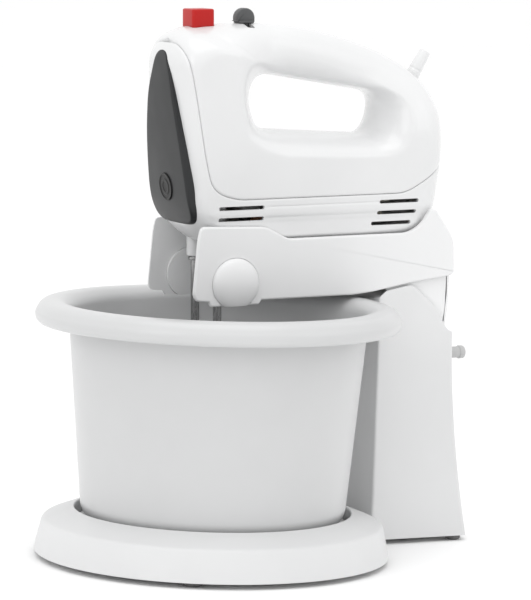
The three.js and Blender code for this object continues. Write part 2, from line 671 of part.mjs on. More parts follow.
// Half a disc standing on a short skirt, as [x, z] points.
function halfDisc(radius) {
  const skirtTop = 3.4;
  const foot = 0.9;
  const points = [[-radius - 0.6, foot + 0.6], [-radius, skirtTop]];
  for (let i = 1; i < 10; i++) {
    const turn = Math.PI * (1 - i / 10);
    points.push([radius * Math.cos(turn), skirtTop + radius * Math.sin(turn)]);
  }
  points.push([radius, skirtTop], [radius, foot], [-4, foot]);
  return points;
}

function buildMotor(group) {
  const z = mixer.shaftZ;
  const at = [0, 0, z];
  const frame = along(rectangle(-25, -21, 25, 23, 9), 46, 76);
  const bore = layAlongX(disc(16, 40, 82, 28));
  const coilSlot = (grow) => [-1, 1].map((side) => {
    const ring = upright(rectangle(40 - grow, -20 - grow, 82 + grow, 20 + grow, 4), 0, 4.6 + 2 * grow);
    const core = upright(rectangle(45 + grow, -15 + grow, 77 - grow, 15 - grow, 3), -1, 8);
    return cut(ring, core).translate([0, 0, side > 0 ? 17 - grow : -21.6 - grow]);
  });
  piece(group, 'motor_stator', cut(frame, bore, ...coilSlot(gap)), laminate, at);
  const [lower, upper] = coilSlot(0);
  piece(group, 'field_coil_lower', lower, copper, at);
  piece(group, 'field_coil_upper', upper, copper, at);
  for (const [x, word] of [[27, 'front'], [104, 'rear']]) {
    const plate = cut(
      along(rectangle(-24, -11, 24, 11, 4), x, x + 3),
      layAlongX(disc(6.6, x - 1, x + 4, 20)),
    );
    piece(group, `bearing_bracket_${word}`, plate, laminate, at);
    piece(group, `bearing_${word}`, layAlongX(tube(2.8, 6.3, x - 1, x + 4, 20)), steel, at);
  }
  const grooves = [];
  for (let x = -14; x <= 14; x += 4.6) grooves.push([5.2, x - 1], [5.2, x + 0.6], [3.8, x + 1.6]);
  const shaft = turned([[0, -19], [2.5, -19], [2.5, -17], [3.8, -16.6], ...grooves, [2.5, 17.5], [2.5, 132], [0, 132]], 10);
  piece(group, 'armature_shaft', layAlongX(shaft), steel, at);
  piece(group, 'armature_core', layAlongX(tube(2.8, 15.4, 47, 75, 28)), laminate, at);
  piece(group, 'commutator', layAlongX(tube(2.8, 8, 86, 97, 20)), copper, at);
  piece(group, 'cooling_fan', coolingFan(), natural, at);
  for (const [side, word] of [[-1, 'near'], [1, 'far']]) {
    const holder = upright(rectangle(88, 8.4, 95, 22), -3.5, 3.5);
    piece(group, `brush_${word}`, side > 0 ? holder : holder.mirror([0, 1, 0]), board, at);
  }
}

function coolingFan() {
  const hub = layAlongX(tube(2.8, 6, 114, 124, 20));
  const plate = layAlongX(tube(5, 22, 114, 115.5, 28));
  const blades = [];
  for (let i = 0; i < 9; i++) {
    blades.push(upright(rectangle(114.5, 5, 123, 21.5), -0.6, 0.6).rotate([40 * i, 0, 0]));
  }
  return unite(hub, plate, ...blades);
}

// Worm gears with their spindles, one each side of the worm.
function buildGears(group) {
  const teeth = 20;
  const rim = new THREE.Shape();
  for (let i = 0; i < teeth * 4; i++) {
    const turn = 2 * Math.PI * (i + 0.5) / (teeth * 4);
    const r = i % 4 < 2 ? 10.8 : 9.4;
    const at = [r * Math.cos(turn), r * Math.sin(turn)];
    if (i === 0) rim.moveTo(...at);
    else rim.lineTo(...at);
  }
  rim.closePath();
  const wheel = cut(upright(rim, mixer.shaftZ - 5, mixer.shaftZ + 5), disc(5.8, 0, 60, 24));
  const sleeve = tube(3.1, 5.5, -7.5, 46, 24);
  for (const [side, word] of [[-1, 'near'], [1, 'far']]) {
    const at = [0, side * mixer.spindleY, 0];
    piece(group, `worm_gear_${word}`, wheel, natural, at);
    piece(group, `spindle_sleeve_${word}`, sleeve, white, at);
  }
}

// A whisk: shaft with a cross pin of its own, and two crossed wire loops.
function whiskWires(turnBy) {
  const bottom = -156;
  const loop = (angle) => {
    const half = [[3.2, -58], [5, -66], [11, -79], [18, -95], [21, -112], [20.4, -130], [15, -145], [7, -153.5]];
    const side = (sign) => half.map(([r, z]) => [sign * r * Math.cos(angle), sign * r * Math.sin(angle), z]);
    return wire([...side(-1), [0, 0, bottom], ...side(1).reverse()], 1.2, 20, false, 5);
  };
  const hub = turned([[0, -61], [5, -61], [5.6, -60], [5.6, -52], [4.6, -50], [0, -50]], 18);
  return unite(hub, loop(turnBy), loop(turnBy + Math.PI / 2));
}

function buildWhisks(group) {
  for (const [side, word] of [[-1, 'near'], [1, 'far']]) {
    const at = [0, side * mixer.spindleY, 0];
    const shaft = turned([
      [0, -50 + gap], [2.75, -50 + gap], [2.75, -10.4], [4.4, -10.2], [4.4, -8.2], [2.75, -8], [2.75, 40],
      [2, 42], [0, 42],
    ], 18);
    piece(group, `whisk_shaft_${word}`, shaft, steel, at);
    piece(group, `whisk_wires_${word}`, whiskWires(side > 0 ? Math.PI / 4 : 0), steel, at);
  }
}

function buildMixer(armGroup) {
  const group = new THREE.Group();
  group.position.set(mixer.x, 0, mixer.z);
  armGroup.add(group);
  buildHousing(group);
  buildControls(group);
  buildMotor(group);
  buildGears(group);
  buildWhisks(group);
  const sleeve = turned([[2.6, -8], [4.9, -8], [4.9, -2], [4.6, 4], [3.6, 22], [2.6, 22]], 20);
  piece(group, 'strain_relief', sleeve.rotate([0, 32, 0]), white, [cord.x, 0, cord.z]);
}

// ---------------------------------------------------------------- assembly
const group = new THREE.Group();
group.name = 'stand_mixer';
const stand = new THREE.Group();
stand.position.x = bowlX;
group.add(stand);
buildBase(stand);
buildTurntable(stand);
piece(stand, 'bowl', bowlBody(), milky);
buildColumn(stand);
buildMixer(buildArm(stand));

export default group;
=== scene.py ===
"""The looks of the hand mixer on its bowl stand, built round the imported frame.

Every piece is made in millimetres in the frame of the group it belongs to (stand, column, arm or mixer),
then placed in the row frame in metres.
"""
import json
import math

import bmesh
import bpy
import numpy as np
from mathutils import Matrix, Vector


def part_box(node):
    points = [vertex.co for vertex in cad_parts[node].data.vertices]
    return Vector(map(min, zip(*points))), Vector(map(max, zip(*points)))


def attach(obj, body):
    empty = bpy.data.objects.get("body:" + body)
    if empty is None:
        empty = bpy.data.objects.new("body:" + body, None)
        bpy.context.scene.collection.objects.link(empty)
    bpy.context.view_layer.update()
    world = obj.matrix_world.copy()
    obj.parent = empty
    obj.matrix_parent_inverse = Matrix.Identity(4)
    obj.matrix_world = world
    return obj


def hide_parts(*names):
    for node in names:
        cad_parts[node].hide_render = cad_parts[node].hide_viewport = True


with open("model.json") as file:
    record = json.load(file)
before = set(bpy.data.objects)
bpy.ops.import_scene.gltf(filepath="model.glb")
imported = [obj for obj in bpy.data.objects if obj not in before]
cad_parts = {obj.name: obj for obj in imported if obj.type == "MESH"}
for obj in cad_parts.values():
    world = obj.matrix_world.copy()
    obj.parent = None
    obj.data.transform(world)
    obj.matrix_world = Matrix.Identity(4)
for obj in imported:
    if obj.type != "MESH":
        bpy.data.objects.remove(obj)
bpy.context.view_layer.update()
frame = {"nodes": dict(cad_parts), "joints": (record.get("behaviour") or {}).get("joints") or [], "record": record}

MM = 0.001

# ---------- the frames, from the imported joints
JOINTS = {joint["name"]: joint for joint in frame["joints"]}
BOWL_AXIS = Vector(JOINTS["turntable_spin"]["pos_m"])
HINGE = Vector(JOINTS["arm_tilt"]["pos_m"])
HEAD_X = Vector(JOINTS["motor_spin"]["axis"]).normalized()
HEAD_Z = Vector(JOINTS["mixer_lift"]["axis"]).normalized()
NEAR_SPINDLE = Vector(JOINTS["near_drive_spin"]["pos_m"])
FAR_SPINDLE = Vector(JOINTS["far_drive_spin"]["pos_m"])


def placement(origin, forward=Vector((1, 0, 0)), up=Vector((0, 0, 1))):
    """Millimetres in a group's own frame to metres in the row frame."""
    side = up.cross(forward)
    turn = Matrix((forward, side, up)).transposed().to_4x4()
    return Matrix.Translation(origin) @ turn @ Matrix.Scale(MM, 4)


ON_TABLE = Vector((BOWL_AXIS.x, BOWL_AXIS.y, 0))
STAND = placement(ON_TABLE)
COLUMN = placement(Vector((BOWL_AXIS.x, HINGE.y, 0)))
ARM = placement(HINGE, HEAD_X, HEAD_Z)
MIXER = placement((NEAR_SPINDLE + FAR_SPINDLE) / 2, HEAD_X, HEAD_Z)
SPINDLE_Y = (FAR_SPINDLE.y - NEAR_SPINDLE.y) / 2 / MM


def box_mm(node):
    """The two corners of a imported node's box, in millimetres in the row frame."""
    return [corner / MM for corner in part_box(node)]


# ---------- mesh helpers
WELD = 2e-6          # metres
SHARP = 38           # degrees between faces, over which an edge stays hard


def make_object(name, points, faces, place):
    """A smooth shaded mesh object from points in a group's frame."""
    mesh = bpy.data.meshes.new(name)
    mesh.from_pydata([tuple(p) for p in points], [], [tuple(f) for f in faces])
    mesh.transform(place)
    obj = bpy.data.objects.new(name, mesh)
    bpy.context.scene.collection.objects.link(obj)
    return tidy_mesh(obj)


def tidy_mesh(obj, weld=WELD):
    """Welds coincident points, turns the faces outwards and keeps hard edges hard."""
    bm = bmesh.new()
    bm.from_mesh(obj.data)
    bmesh.ops.remove_doubles(bm, verts=bm.verts, dist=weld)
    bmesh.ops.dissolve_degenerate(bm, edges=bm.edges, dist=weld)
    bmesh.ops.recalc_face_normals(bm, faces=bm.faces)
    bm.to_mesh(obj.data)
    bm.free()
    obj.data.shade_smooth()
    obj.data.set_sharp_from_angle(angle=math.radians(SHARP))
    return obj


def settle(obj):
    """Bakes an object's modifiers into its mesh."""
    bpy.context.view_layer.update()
    evaluated = obj.evaluated_get(bpy.context.evaluated_depsgraph_get())
    mesh = bpy.data.meshes.new_from_object(evaluated)
    obj.modifiers.clear()
    obj.data = mesh
    return obj


def combine(target, others, how):
    """One boolean after another; the other solids are used up."""
    for other in others:
        step = target.modifiers.new(how, "BOOLEAN")
        step.operation = how
        step.solver = "EXACT"
        step.object = other
        settle(target)
        bpy.data.objects.remove(other)
    return tidy_mesh(target)


def carve(target, *cutters):
    return combine(target, cutters, "DIFFERENCE")


def soften(obj, width, segments=3, angle=50):
    """Rounds the sharp edges that a cut has left."""
    step = obj.modifiers.new("soften", "BEVEL")
    step.width = width * MM
    step.segments = segments
    step.limit_method = "ANGLE"
    step.angle_limit = math.radians(angle)
    step.use_clamp_overlap = True
    step.harden_normals = False
    settle(obj)
    return tidy_mesh(obj, weld=WELD / 2)


def weigh_normals(obj):
    """Shades flat faces flat right up to their rounded edges."""
    step = obj.modifiers.new("weigh", "WEIGHTED_NORMAL")
    step.keep_sharp = True
    return settle(obj)


def join(first, *rest):
    """Puts several solids in one object."""
    bm = bmesh.new()
    for obj in (first, *rest):
        bm.from_mesh(obj.data)
    bm.to_mesh(first.data)
    bm.free()
    for obj in rest:
        bpy.data.objects.remove(obj)
    first.data.shade_smooth()
    first.data.set_sharp_from_angle(angle=math.radians(SHARP))
    return first


def rounded(corners, steps=6, closed=True):
    """A polyline through [x, y, corner radius] points, its corners rounded."""
    out = []
    count = len(corners)
    for i, corner in enumerate(corners):
        here = np.array(corner[:2], float)
        radius = corner[2] if len(corner) > 2 else 0
        at_end = not closed and i in (0, count - 1)
        if radius == 0 or at_end:
            out.append(here)
            continue
        back = np.array(corners[i - 1][:2], float) - here
        ahead = np.array(corners[(i + 1) % count][:2], float) - here
        reach = min(radius, 0.49 * np.linalg.norm(back), 0.49 * np.linalg.norm(ahead))
        start = here + back / np.linalg.norm(back) * reach
        end = here + ahead / np.linalg.norm(ahead) * reach
        for t in np.linspace(0, 1, steps + 1):
            out.append((1 - t) ** 2 * start + 2 * t * (1 - t) * here + t * t * end)
    return np.array(out)


def offset_loop(loop, inset):
    """A closed loop moved inwards by an inset."""
    area = np.sum(loop[:, 0] * np.roll(loop[:, 1], -1) - np.roll(loop[:, 0], -1) * loop[:, 1])
    edge = np.roll(loop, -1, 0) - loop
    normal = np.stack([-edge[:, 1], edge[:, 0]], 1) * np.sign(area)
    normal /= np.maximum(np.linalg.norm(normal, axis=1, keepdims=True), 1e-9)
    both = normal + np.roll(normal, 1, 0)
    both /= np.maximum(np.linalg.norm(both, axis=1, keepdims=True), 1e-9)
    lean = np.maximum(0.5, np.sum(both * normal, 1))
    return loop + both * (inset / lean)[:, None]


AXES = {"x": (1, 2, 0), "y": (0, 2, 1), "z": (0, 1, 2)}


def prism(name, loop, low, high, place, axis="y", edge=0.0, steps=4):
    """A closed outline given length along an axis, with rounded rims."""
    loop = np.array(loop, float)
    rings = []
    if edge > 0:
        turns = np.linspace(0, math.pi / 2, steps + 1)
        rims = [(edge * (1 - math.sin(a)), edge * (1 - math.cos(a))) for a in turns]
        rings += [(offset_loop(loop, inset), low + depth) for inset, depth in rims]
        rings += [(offset_loop(loop, inset), high - depth) for inset, depth in reversed(rims)]
    else:
        rings += [(loop, low), (loop, high)]
    first, second, third = AXES[axis]
    count = len(loop)
    points = np.zeros((len(rings) * count, 3))
    for i, (ring, level) in enumerate(rings):
        rows = slice(i * count, (i + 1) * count)
        points[rows, first] = ring[:, 0]
        points[rows, second] = ring[:, 1]
        points[rows, third] = level
    faces = sweep_faces(len(rings), count)
    faces += [list(range(count))[::-1], list(range((len(rings) - 1) * count, len(rings) * count))]
    return make_object(name, points, faces, place)


def sweep_faces(rows, count, close_rows=False):
    """Quads between rows of points that each close on themselves."""
    faces = []
    for i in range(rows if close_rows else rows - 1):
        nxt = (i + 1) % rows
        for j in range(count):
            k = (j + 1) % count
            faces.append((i * count + j, i * count + k, nxt * count + k, nxt * count + j))
    return faces


def box_loop(x0, y0, x1, y1, radius=0.0, steps=6):
    return rounded([(x0, y0, radius), (x1, y0, radius), (x1, y1, radius), (x0, y1, radius)], steps)


def circle_loop(x, y, radius, count=48):
    turns = np.linspace(0, 2 * math.pi, count, endpoint=False)
    return np.stack([x + radius * np.cos(turns), y + radius * np.sin(turns)], 1)


def lathe(name, profile, place, segments=144, centre=(0, 0), axis="z"):
    """A closed [radius, height] outline turned about an axis through centre."""
    profile = np.array(profile, float)
    turns = np.linspace(0, 2 * math.pi, segments, endpoint=False)
    first, second, third = AXES[axis]
    points = np.zeros((segments, len(profile), 3))
    points[:, :, first] = centre[0] + np.outer(np.cos(turns), profile[:, 0])
    points[:, :, second] = centre[1] + np.outer(np.sin(turns), profile[:, 0])
    points[:, :, third] = profile[:, 1][None, :]
    faces = sweep_faces(segments, len(profile), close_rows=True)
    return make_object(name, points.reshape(-1, 3), faces, place)


def smooth_path(points, per_span=8):
    """A Catmull-Rom line through points."""
    points = np.array(points, float)
    padded = np.vstack([2 * points[0] - points[1], points, 2 * points[-1] - points[-2]])
    out = []
    for i in range(len(points) - 1):
        a, b, c, d = padded[i:i + 4]
        for t in np.linspace(0, 1, per_span, endpoint=False):
            out.append(0.5 * (2 * b + (c - a) * t + (2 * a - 5 * b + 4 * c - d) * t ** 2
                              + (3 * b - a - 3 * c + d) * t ** 3))
    out.append(points[-1])
    return np.array(out)


def rod(name, path, radius, place, sides=14):
    """A round rod along a path; its section keeps from twisting."""
    path = np.array(path, float)
    along = np.gradient(path, axis=0)
    along /= np.linalg.norm(along, axis=1, keepdims=True)
    normal = np.cross(along[0], (0.3, 0.9, 0.1))
    rings = []
    for here, way in zip(path, along):
        normal = normal - way * np.dot(normal, way)
        normal /= np.linalg.norm(normal)
        across = np.cross(way, normal)
        turns = np.linspace(0, 2 * math.pi, sides, endpoint=False)
        rings.append(here + radius * (np.outer(np.cos(turns), normal) + np.outer(np.sin(turns), across)))
    faces = sweep_faces(len(rings), sides)
    faces += [list(range(sides))[::-1], list(range((len(rings) - 1) * sides, len(rings) * sides))]
    return make_object(name, np.vstack(rings), faces, place)


def piece(obj, body, nodes, material):
    """Names what a finished object rides on, stands for and is made of."""
    obj.data.materials.clear()
    obj.data.materials.append(material)
    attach(obj, body)
    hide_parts(*nodes)
    return obj


# ---------- materials
def new_material(name):
    material = bpy.data.materials.new(name)
    material.use_nodes = True
    return material, material.node_tree.nodes, material.node_tree.links


def noise(nodes, links, coordinates, scale, detail=3.0, roughness=0.5):
    node = nodes.new("ShaderNodeTexNoise")
    node.inputs["Scale"].default_value = scale
    node.inputs["Detail"].default_value = detail
    node.inputs["Roughness"].default_value = roughness
    links.new(coordinates.outputs["Object"], node.inputs["Vector"])
    return node


def blend_colors(nodes, links, factor, low, high):
    ramp = nodes.new("ShaderNodeValToRGB")
    ramp.color_ramp.elements[0].position = 0.35
    ramp.color_ramp.elements[1].position = 0.65
    ramp.color_ramp.elements[0].color = (*low, 1)
    ramp.color_ramp.elements[1].color = (*high, 1)
    links.new(factor, ramp.inputs["Fac"])
    return ramp.outputs["Color"]


def spread(nodes, links, value, low, high):
    node = nodes.new("ShaderNodeMapRange")
    node.inputs["From Min"].default_value = 0.3
    node.inputs["From Max"].default_value = 0.7
    node.inputs["To Min"].default_value = low
    node.inputs["To Max"].default_value = high
    links.new(value, node.inputs["Value"])
    return node.outputs["Result"]


def moulded(name, low, high, rough, grain_mm, grain_depth_mm, sink_depth_mm=0.02, **finish):
    """Moulded plastic: cloudy colour, fine grain from the mould and slow sink marks.

    finish may hold the clear coat's weight, how much light scatters inside, and the refractive index.
    """
    material, nodes, links = new_material(name)
    shader = nodes["Principled BSDF"]
    where = nodes.new("ShaderNodeTexCoord")
    clouds = noise(nodes, links, where, 18.0)
    links.new(blend_colors(nodes, links, clouds.outputs["Fac"], low, high), shader.inputs["Base Color"])
    smears = noise(nodes, links, where, 60.0, detail=5.0)
    links.new(spread(nodes, links, smears.outputs["Fac"], *rough), shader.inputs["Roughness"])
    grain = noise(nodes, links, where, 1 / (grain_mm * MM), detail=2.0)
    sink = noise(nodes, links, where, 22.0, detail=1.0)
    fine = nodes.new("ShaderNodeBump")
    fine.inputs["Distance"].default_value = grain_depth_mm * MM
    links.new(grain.outputs["Fac"], fine.inputs["Height"])
    slow = nodes.new("ShaderNodeBump")
    slow.inputs["Distance"].default_value = sink_depth_mm * MM
    links.new(sink.outputs["Fac"], slow.inputs["Height"])
    links.new(slow.outputs["Normal"], fine.inputs["Normal"])
    links.new(fine.outputs["Normal"], shader.inputs["Normal"])
    shader.inputs["IOR"].default_value = finish.get("ior", 1.5)
    shader.inputs["Coat Weight"].default_value = finish.get("coat", 0.0)
    shader.inputs["Coat Roughness"].default_value = 0.08
    shader.inputs["Subsurface Weight"].default_value = finish.get("scatter", 0.0)
    shader.inputs["Subsurface Scale"].default_value = 2 * MM
    shader.inputs["Subsurface Radius"].default_value = (1.0, 0.9, 0.8)
    return material


def metal(name, low, high, rough, streak=(400.0, 400.0, 20.0), depth_mm=0.01):
    """Metal with drawn or turned streaks."""
    material, nodes, links = new_material(name)
    shader = nodes["Principled BSDF"]
    where = nodes.new("ShaderNodeTexCoord")
    stretch = nodes.new("ShaderNodeMapping")
    stretch.inputs["Scale"].default_value = streak
    links.new(where.outputs["Object"], stretch.inputs["Vector"])
    streaks = nodes.new("ShaderNodeTexNoise")
    streaks.inputs["Scale"].default_value = 6.0
    streaks.inputs["Detail"].default_value = 4.0
    links.new(stretch.outputs["Vector"], streaks.inputs["Vector"])
    links.new(blend_colors(nodes, links, streaks.outputs["Fac"], low, high), shader.inputs["Base Color"])
    links.new(spread(nodes, links, streaks.outputs["Fac"], *rough), shader.inputs["Roughness"])
    bump = nodes.new("ShaderNodeBump")
    bump.inputs["Distance"].default_value = depth_mm * MM
    links.new(streaks.outputs["Fac"], bump.inputs["Height"])
    links.new(bump.outputs["Normal"], shader.inputs["Normal"])
    shader.inputs["Metallic"].default_value = 1.0
    return material


def grey(value, tint=0.0):
    return (value - tint, value, value + tint)


STAND_WHITE = moulded("stand_white", grey(0.66, 0.003), grey(0.68, 0.003), (0.38, 0.44), 0.35, 0.004)
GLOSS_WHITE = moulded("gloss_white", grey(0.69, 0.003), grey(0.71, 0.003), (0.2, 0.25), 0.9, 0.003,
                      coat=0.25)
MILKY_WHITE = moulded("milky_white", grey(0.555, 0.003), grey(0.57, 0.003), (0.3, 0.34), 0.9, 0.001,
                      sink_depth_mm=0.002, coat=0.1)
DARK_PANEL = moulded("dark_panel", grey(0.018, 0.001), grey(0.024, 0.001), (0.34, 0.4), 0.4, 0.002,
                     sink_depth_mm=0.004, ior=1.36)
BADGE_DARK = moulded("badge_dark", grey(0.008), grey(0.012), (0.34, 0.42), 0.4, 0.002, ior=1.33)
DOME_WHITE = moulded("dome_white", grey(0.74, 0.003), grey(0.76, 0.003), (0.28, 0.33), 0.9, 0.003, coat=0.2)
# the arm is the stand's white plastic made lighter here: painted light that lifts the shade the mixer casts on the
# arm
ARM_WHITE_PAINTED_LIGHT = moulded("arm_white_painted_light", grey(0.74, 0.003), grey(0.76, 0.003), (0.38, 0.44), 0.35, 0.004)
# the knob is the stand's white plastic made darker here: painted shade for the shade that falls on the small peg
KNOB_WHITE_PAINTED_SHADE = moulded("knob_white_painted_shade", grey(0.46), grey(0.5), (0.4, 0.5), 0.4, 0.006)
DARK_GREY = moulded("dark_grey", grey(0.06, 0.002), grey(0.085, 0.002), (0.38, 0.46), 0.25, 0.02)
SIGNAL_RED = moulded("signal_red", (0.42, 0.004, 0.003), (0.48, 0.006, 0.004), (0.3, 0.38), 0.5, 0.003,
                     ior=1.38)
RUBBER = moulded("rubber", grey(0.12), grey(0.17), (0.7, 0.85), 0.3, 0.05)
NYLON = moulded("natural_nylon", (0.7, 0.68, 0.6), (0.76, 0.74, 0.66), (0.42, 0.52), 0.5, 0.02, scatter=0.1)
BLACK_PLASTIC = moulded("switch_black", grey(0.02), grey(0.035), (0.45, 0.55), 0.3, 0.02)
STEEL = metal("bright_steel", grey(0.5), grey(0.62), (0.16, 0.28))
DARK_STEEL = metal("shaft_steel", grey(0.28), grey(0.38), (0.2, 0.32))
COPPER = metal("copper", (0.66, 0.3, 0.16), (0.8, 0.42, 0.24), (0.3, 0.45), streak=(900.0, 900.0, 900.0))
LAMINATED = metal("laminated_steel", grey(0.2), grey(0.34), (0.4, 0.6), streak=(1500.0, 40.0, 40.0))


# ---------- the stand's base
SKIRT_R = box_mm("base_shell")[1].y
BASE_TOP = box_mm("base_shell")[1].z
COLUMN_Y = (HINGE.y - BOWL_AXIS.y) / MM      # how far the column stands to the side of the bowl's axis


def build_base():
    foot_z = box_mm("base_shell")[0].z
    edge_z = BASE_TOP - 7.7
    under = BASE_TOP - 19
    wall = 2.8
    profile = rounded([
        (SKIRT_R - 0.5, foot_z, 0.6), (SKIRT_R - 5.0, edge_z, 2.6), (SKIRT_R - 25.0, BASE_TOP, 3.0),
        (SKIRT_R - 25.8, BASE_TOP - 1.0, 0.6), (SKIRT_R - 25.8, under + wall, 2.0), (3.3, under + wall),
        (3.3, 7.5), (8, 7.5), (8, under), (SKIRT_R - 23, under), (SKIRT_R - 23, BASE_TOP - 3.6),
        (SKIRT_R - 7.0, edge_z - wall, 2.0), (SKIRT_R - 3.0, foot_z, 0.5),
    ])
    shell = lathe("base_shell_skin", profile, STAND, 192)
    tongue_half, tongue_end = 32, 182
    outline = box_loop(SKIRT_R - 24, COLUMN_Y - tongue_half, tongue_end, COLUMN_Y + tongue_half, 4)
    tongue = prism("tongue", outline, under - 3, under, STAND, "z", 0.5)
    piece(join(shell, tongue), "stand", ["base_shell"], STAND_WHITE)
    low, high = box_mm("base_plate")
    plate = lathe("base_plate_skin", rounded([
        (10, low.z, 0.4), (high.y, low.z, 0.6), (high.y, high.z, 0.4), (10, high.z, 0.4),
    ]), STAND, 128)
    piece(plate, "stand", ["base_plate"], STAND_WHITE)


def build_feet():
    for node in ("base_foot_1", "base_foot_2", "base_foot_3", "column_foot_near", "column_foot_far"):
        low, high = box_mm(node)
        radius = (high.x - low.x) / 2
        profile = rounded([
            (0, 0), (radius - 1.2, 0, 0.8), (radius, 1.2, 0.6), (radius, high.z, 0.3), (0, high.z),
        ], closed=False)
        at = Vector(((low.x + high.x) / 2, (low.y + high.y) / 2, 0)) * MM
        foot = lathe(f"{node}_skin", profile, placement(at), 48)
        piece(foot, "stand", [node], RUBBER)


# ---------- turntable and bowl
def build_turntable():
    radius, top = box_mm("turntable")[1].yz
    profile = rounded([
        (3.4, 16), (9, 16, 0.5), (9, 19, 0.5), (70, 19), (70, 17.8, 0.4), (73, 17.8, 0.4), (73, 19),
        (radius - 0.6, 19.6, 0.5), (radius, 20.6, 0.5), (radius, top - 1, 0.8), (radius - 1.2, top, 0.8),
        (3.4, top),
    ])
    plate = lathe("turntable_skin", profile, STAND, 160)
    piece(plate, "turntable", ["turntable"], STAND_WHITE)


def build_bowl():
    """A bowl with a rolled rim: the rim rises from the wall, turns over and ends in a drip lip."""
    low, high = box_mm("bowl")
    bottom, top = low.z, high.z
    rim = high.y
    skirt = top - 15.1
    bottom_r = rim - 32
    top_r = rim - 21.9
    wall = 2
    outside = rounded([
        (0, bottom + 0.9), (bottom_r - 16, bottom + 0.9, 1.0), (bottom_r - 14, bottom, 1.0),
        (bottom_r - 4, bottom, 4.0), (bottom_r, bottom + 7, 6.0), (top_r, skirt, 20.0),
        (top_r + 1.6, top - 4.5, 6.0), (top_r + 8, top - wall, 4.0), (rim - 8.5, top - wall, 5.0),
        (rim - 2.2, top - 8.4, 4.0), (rim - 4.2, skirt + 1.2, 0.6), (rim - 3.2, skirt, 0.8),
        (rim - 0.9, skirt + 2.0, 1.5), (rim, skirt + 6.4, 6.0), (rim - 3.6, top - 1.8, 6.0),
        (rim - 10.5, top, 6.0), (rim - 17.4, top - 0.8, 6.0), (top_r - 1.2, top - 5.6, 5.0),
        (top_r - wall, skirt, 20.0), (bottom_r - wall, bottom + 13, 12.0), (bottom_r - 9, bottom + 3.2, 9.0),
        (bottom_r - 20, bottom + 2.4, 3.0), (0, bottom + 2.4),
    ], steps=8, closed=False)
    bowl = lathe("bowl_skin", outside, STAND, 224)
    piece(bowl, "turntable", ["bowl"], MILKY_WHITE)


# ---------- the column
COLUMN_BOX = box_mm("column_shell")
COLUMN_HALF = (COLUMN_BOX[1].y - COLUMN_BOX[0].y) / 2
COLUMN_LOW = COLUMN_BOX[0].z
COLUMN_REAR = COLUMN_BOX[1].x - BOWL_AXIS.x / MM
REAR_TOP = 140
REAR_BULGE = 6
FRONT_R = 118.9
COLUMN_WALL = 3

# the top edge of the side walls, as height over distance from the bowl's axis
EAR_TOP = rounded([
    (80, 158), (116, 158, 3), (123, 167.4, 3), (143.4, 171.4, 4), (160.7, 155.4, 3), (168.8, 141.6, 3),
    (172, REAR_TOP), (240, REAR_TOP),
], steps=8, closed=False)


def column_rear(z):
    flare = (REAR_TOP - np.minimum(z, REAR_TOP)) / (REAR_TOP - COLUMN_LOW)
    return COLUMN_REAR - 22 + 16 * flare ** 1.75


def column_wall(inset):
    """The wall's plan, shrunk by an inset, as a function of the way round it and of the height."""
    half = COLUMN_HALF - inset
    front_r = FRONT_R + inset

    def front_x(y):
        return math.sqrt(front_r ** 2 - (COLUMN_Y + y) ** 2)

    def rear_x(y, z):
        return column_rear(z) - inset + REAR_BULGE * (1 - (y / half) ** 2)

    def at(s, z):
        """A point of the plan: s runs 0..1 rear, 1..2 far side, 2..3 front, 3..4 near side."""
        side, part = int(s) % 4, s - int(s)
        if side == 0:
            y = -half + 2 * half * part
            return rear_x(y, z), y
        if side == 1:
            return rear_x(half, z) + (front_x(half) - rear_x(half, z)) * part, half
        if side == 2:
            y = half - 2 * half * part
            return front_x(y), y
        return front_x(-half) + (rear_x(-half, z) - front_x(-half)) * part, -half

    return at


def column_loop(at, z, radius=3.2):
    """The plan at one height, its corners rounded."""
    coarse = []
    for side in range(4):
        coarse += [(*at(side, z), radius)]
        coarse += [(*at(side + part, z), 0) for part in np.linspace(0, 1, 34)[1:-1]
                   if min(part, 1 - part) * 2 * COLUMN_HALF > radius]
    return rounded(coarse, 5)


def column_ring(at, fraction):
    """The wall's loop at a fraction of the way from the foot to the top edge."""
    loop = column_loop(at, COLUMN_LOW)
    for _ in range(2):
        tops = np.interp(loop[:, 0], EAR_TOP[:, 0], EAR_TOP[:, 1])
        heights = tops * fraction + COLUMN_LOW * (1 - fraction)
        loop = np.array([column_loop(at, z)[i] for i, z in enumerate(heights)])
    return np.column_stack([loop, heights])


def column_lip(outer, inner):
    """The rounded top edge between the outer and the inner wall."""
    drop = 1.2
    top = (outer[:, 2] + inner[:, 2]) / 2
    lip = []
    for turn in np.linspace(0, math.pi, 7)[1:-1]:
        across = (1 - math.cos(turn)) / 2
        ring = outer * (1 - across) + inner * across
        ring[:, 2] = top + drop * (math.sin(turn) - 1)
        lip.append(ring)
    outer[:, 2] -= drop
    inner[:, 2] -= drop
    return lip


def knob_centre():
    """Where the round button's axis crosses the column's frame, as (y, z)."""
    low, high = box_mm("tilt_button")
    return (low.y + high.y) / 2 - HINGE.y / MM, (low.z + high.z) / 2


def column_posts():
    """Two screw posts with webs to the side walls."""
    low, top, x = BASE_TOP - 18.7, 30, 150
    posts = []
    for side in (-1, 1):
        profile = rounded([(1.8, low), (4.5, low, 0.4), (4.5, top, 0.5), (1.8, top)])
        posts.append(lathe("post", profile, COLUMN, 32, centre=(x, side * 24)))
        near, far = sorted((side * 28, side * 35))
        posts.append(prism("web", box_loop(x - 2.5, near, x + 2.5, far), low, top, COLUMN, "z", 0.3))
    return posts


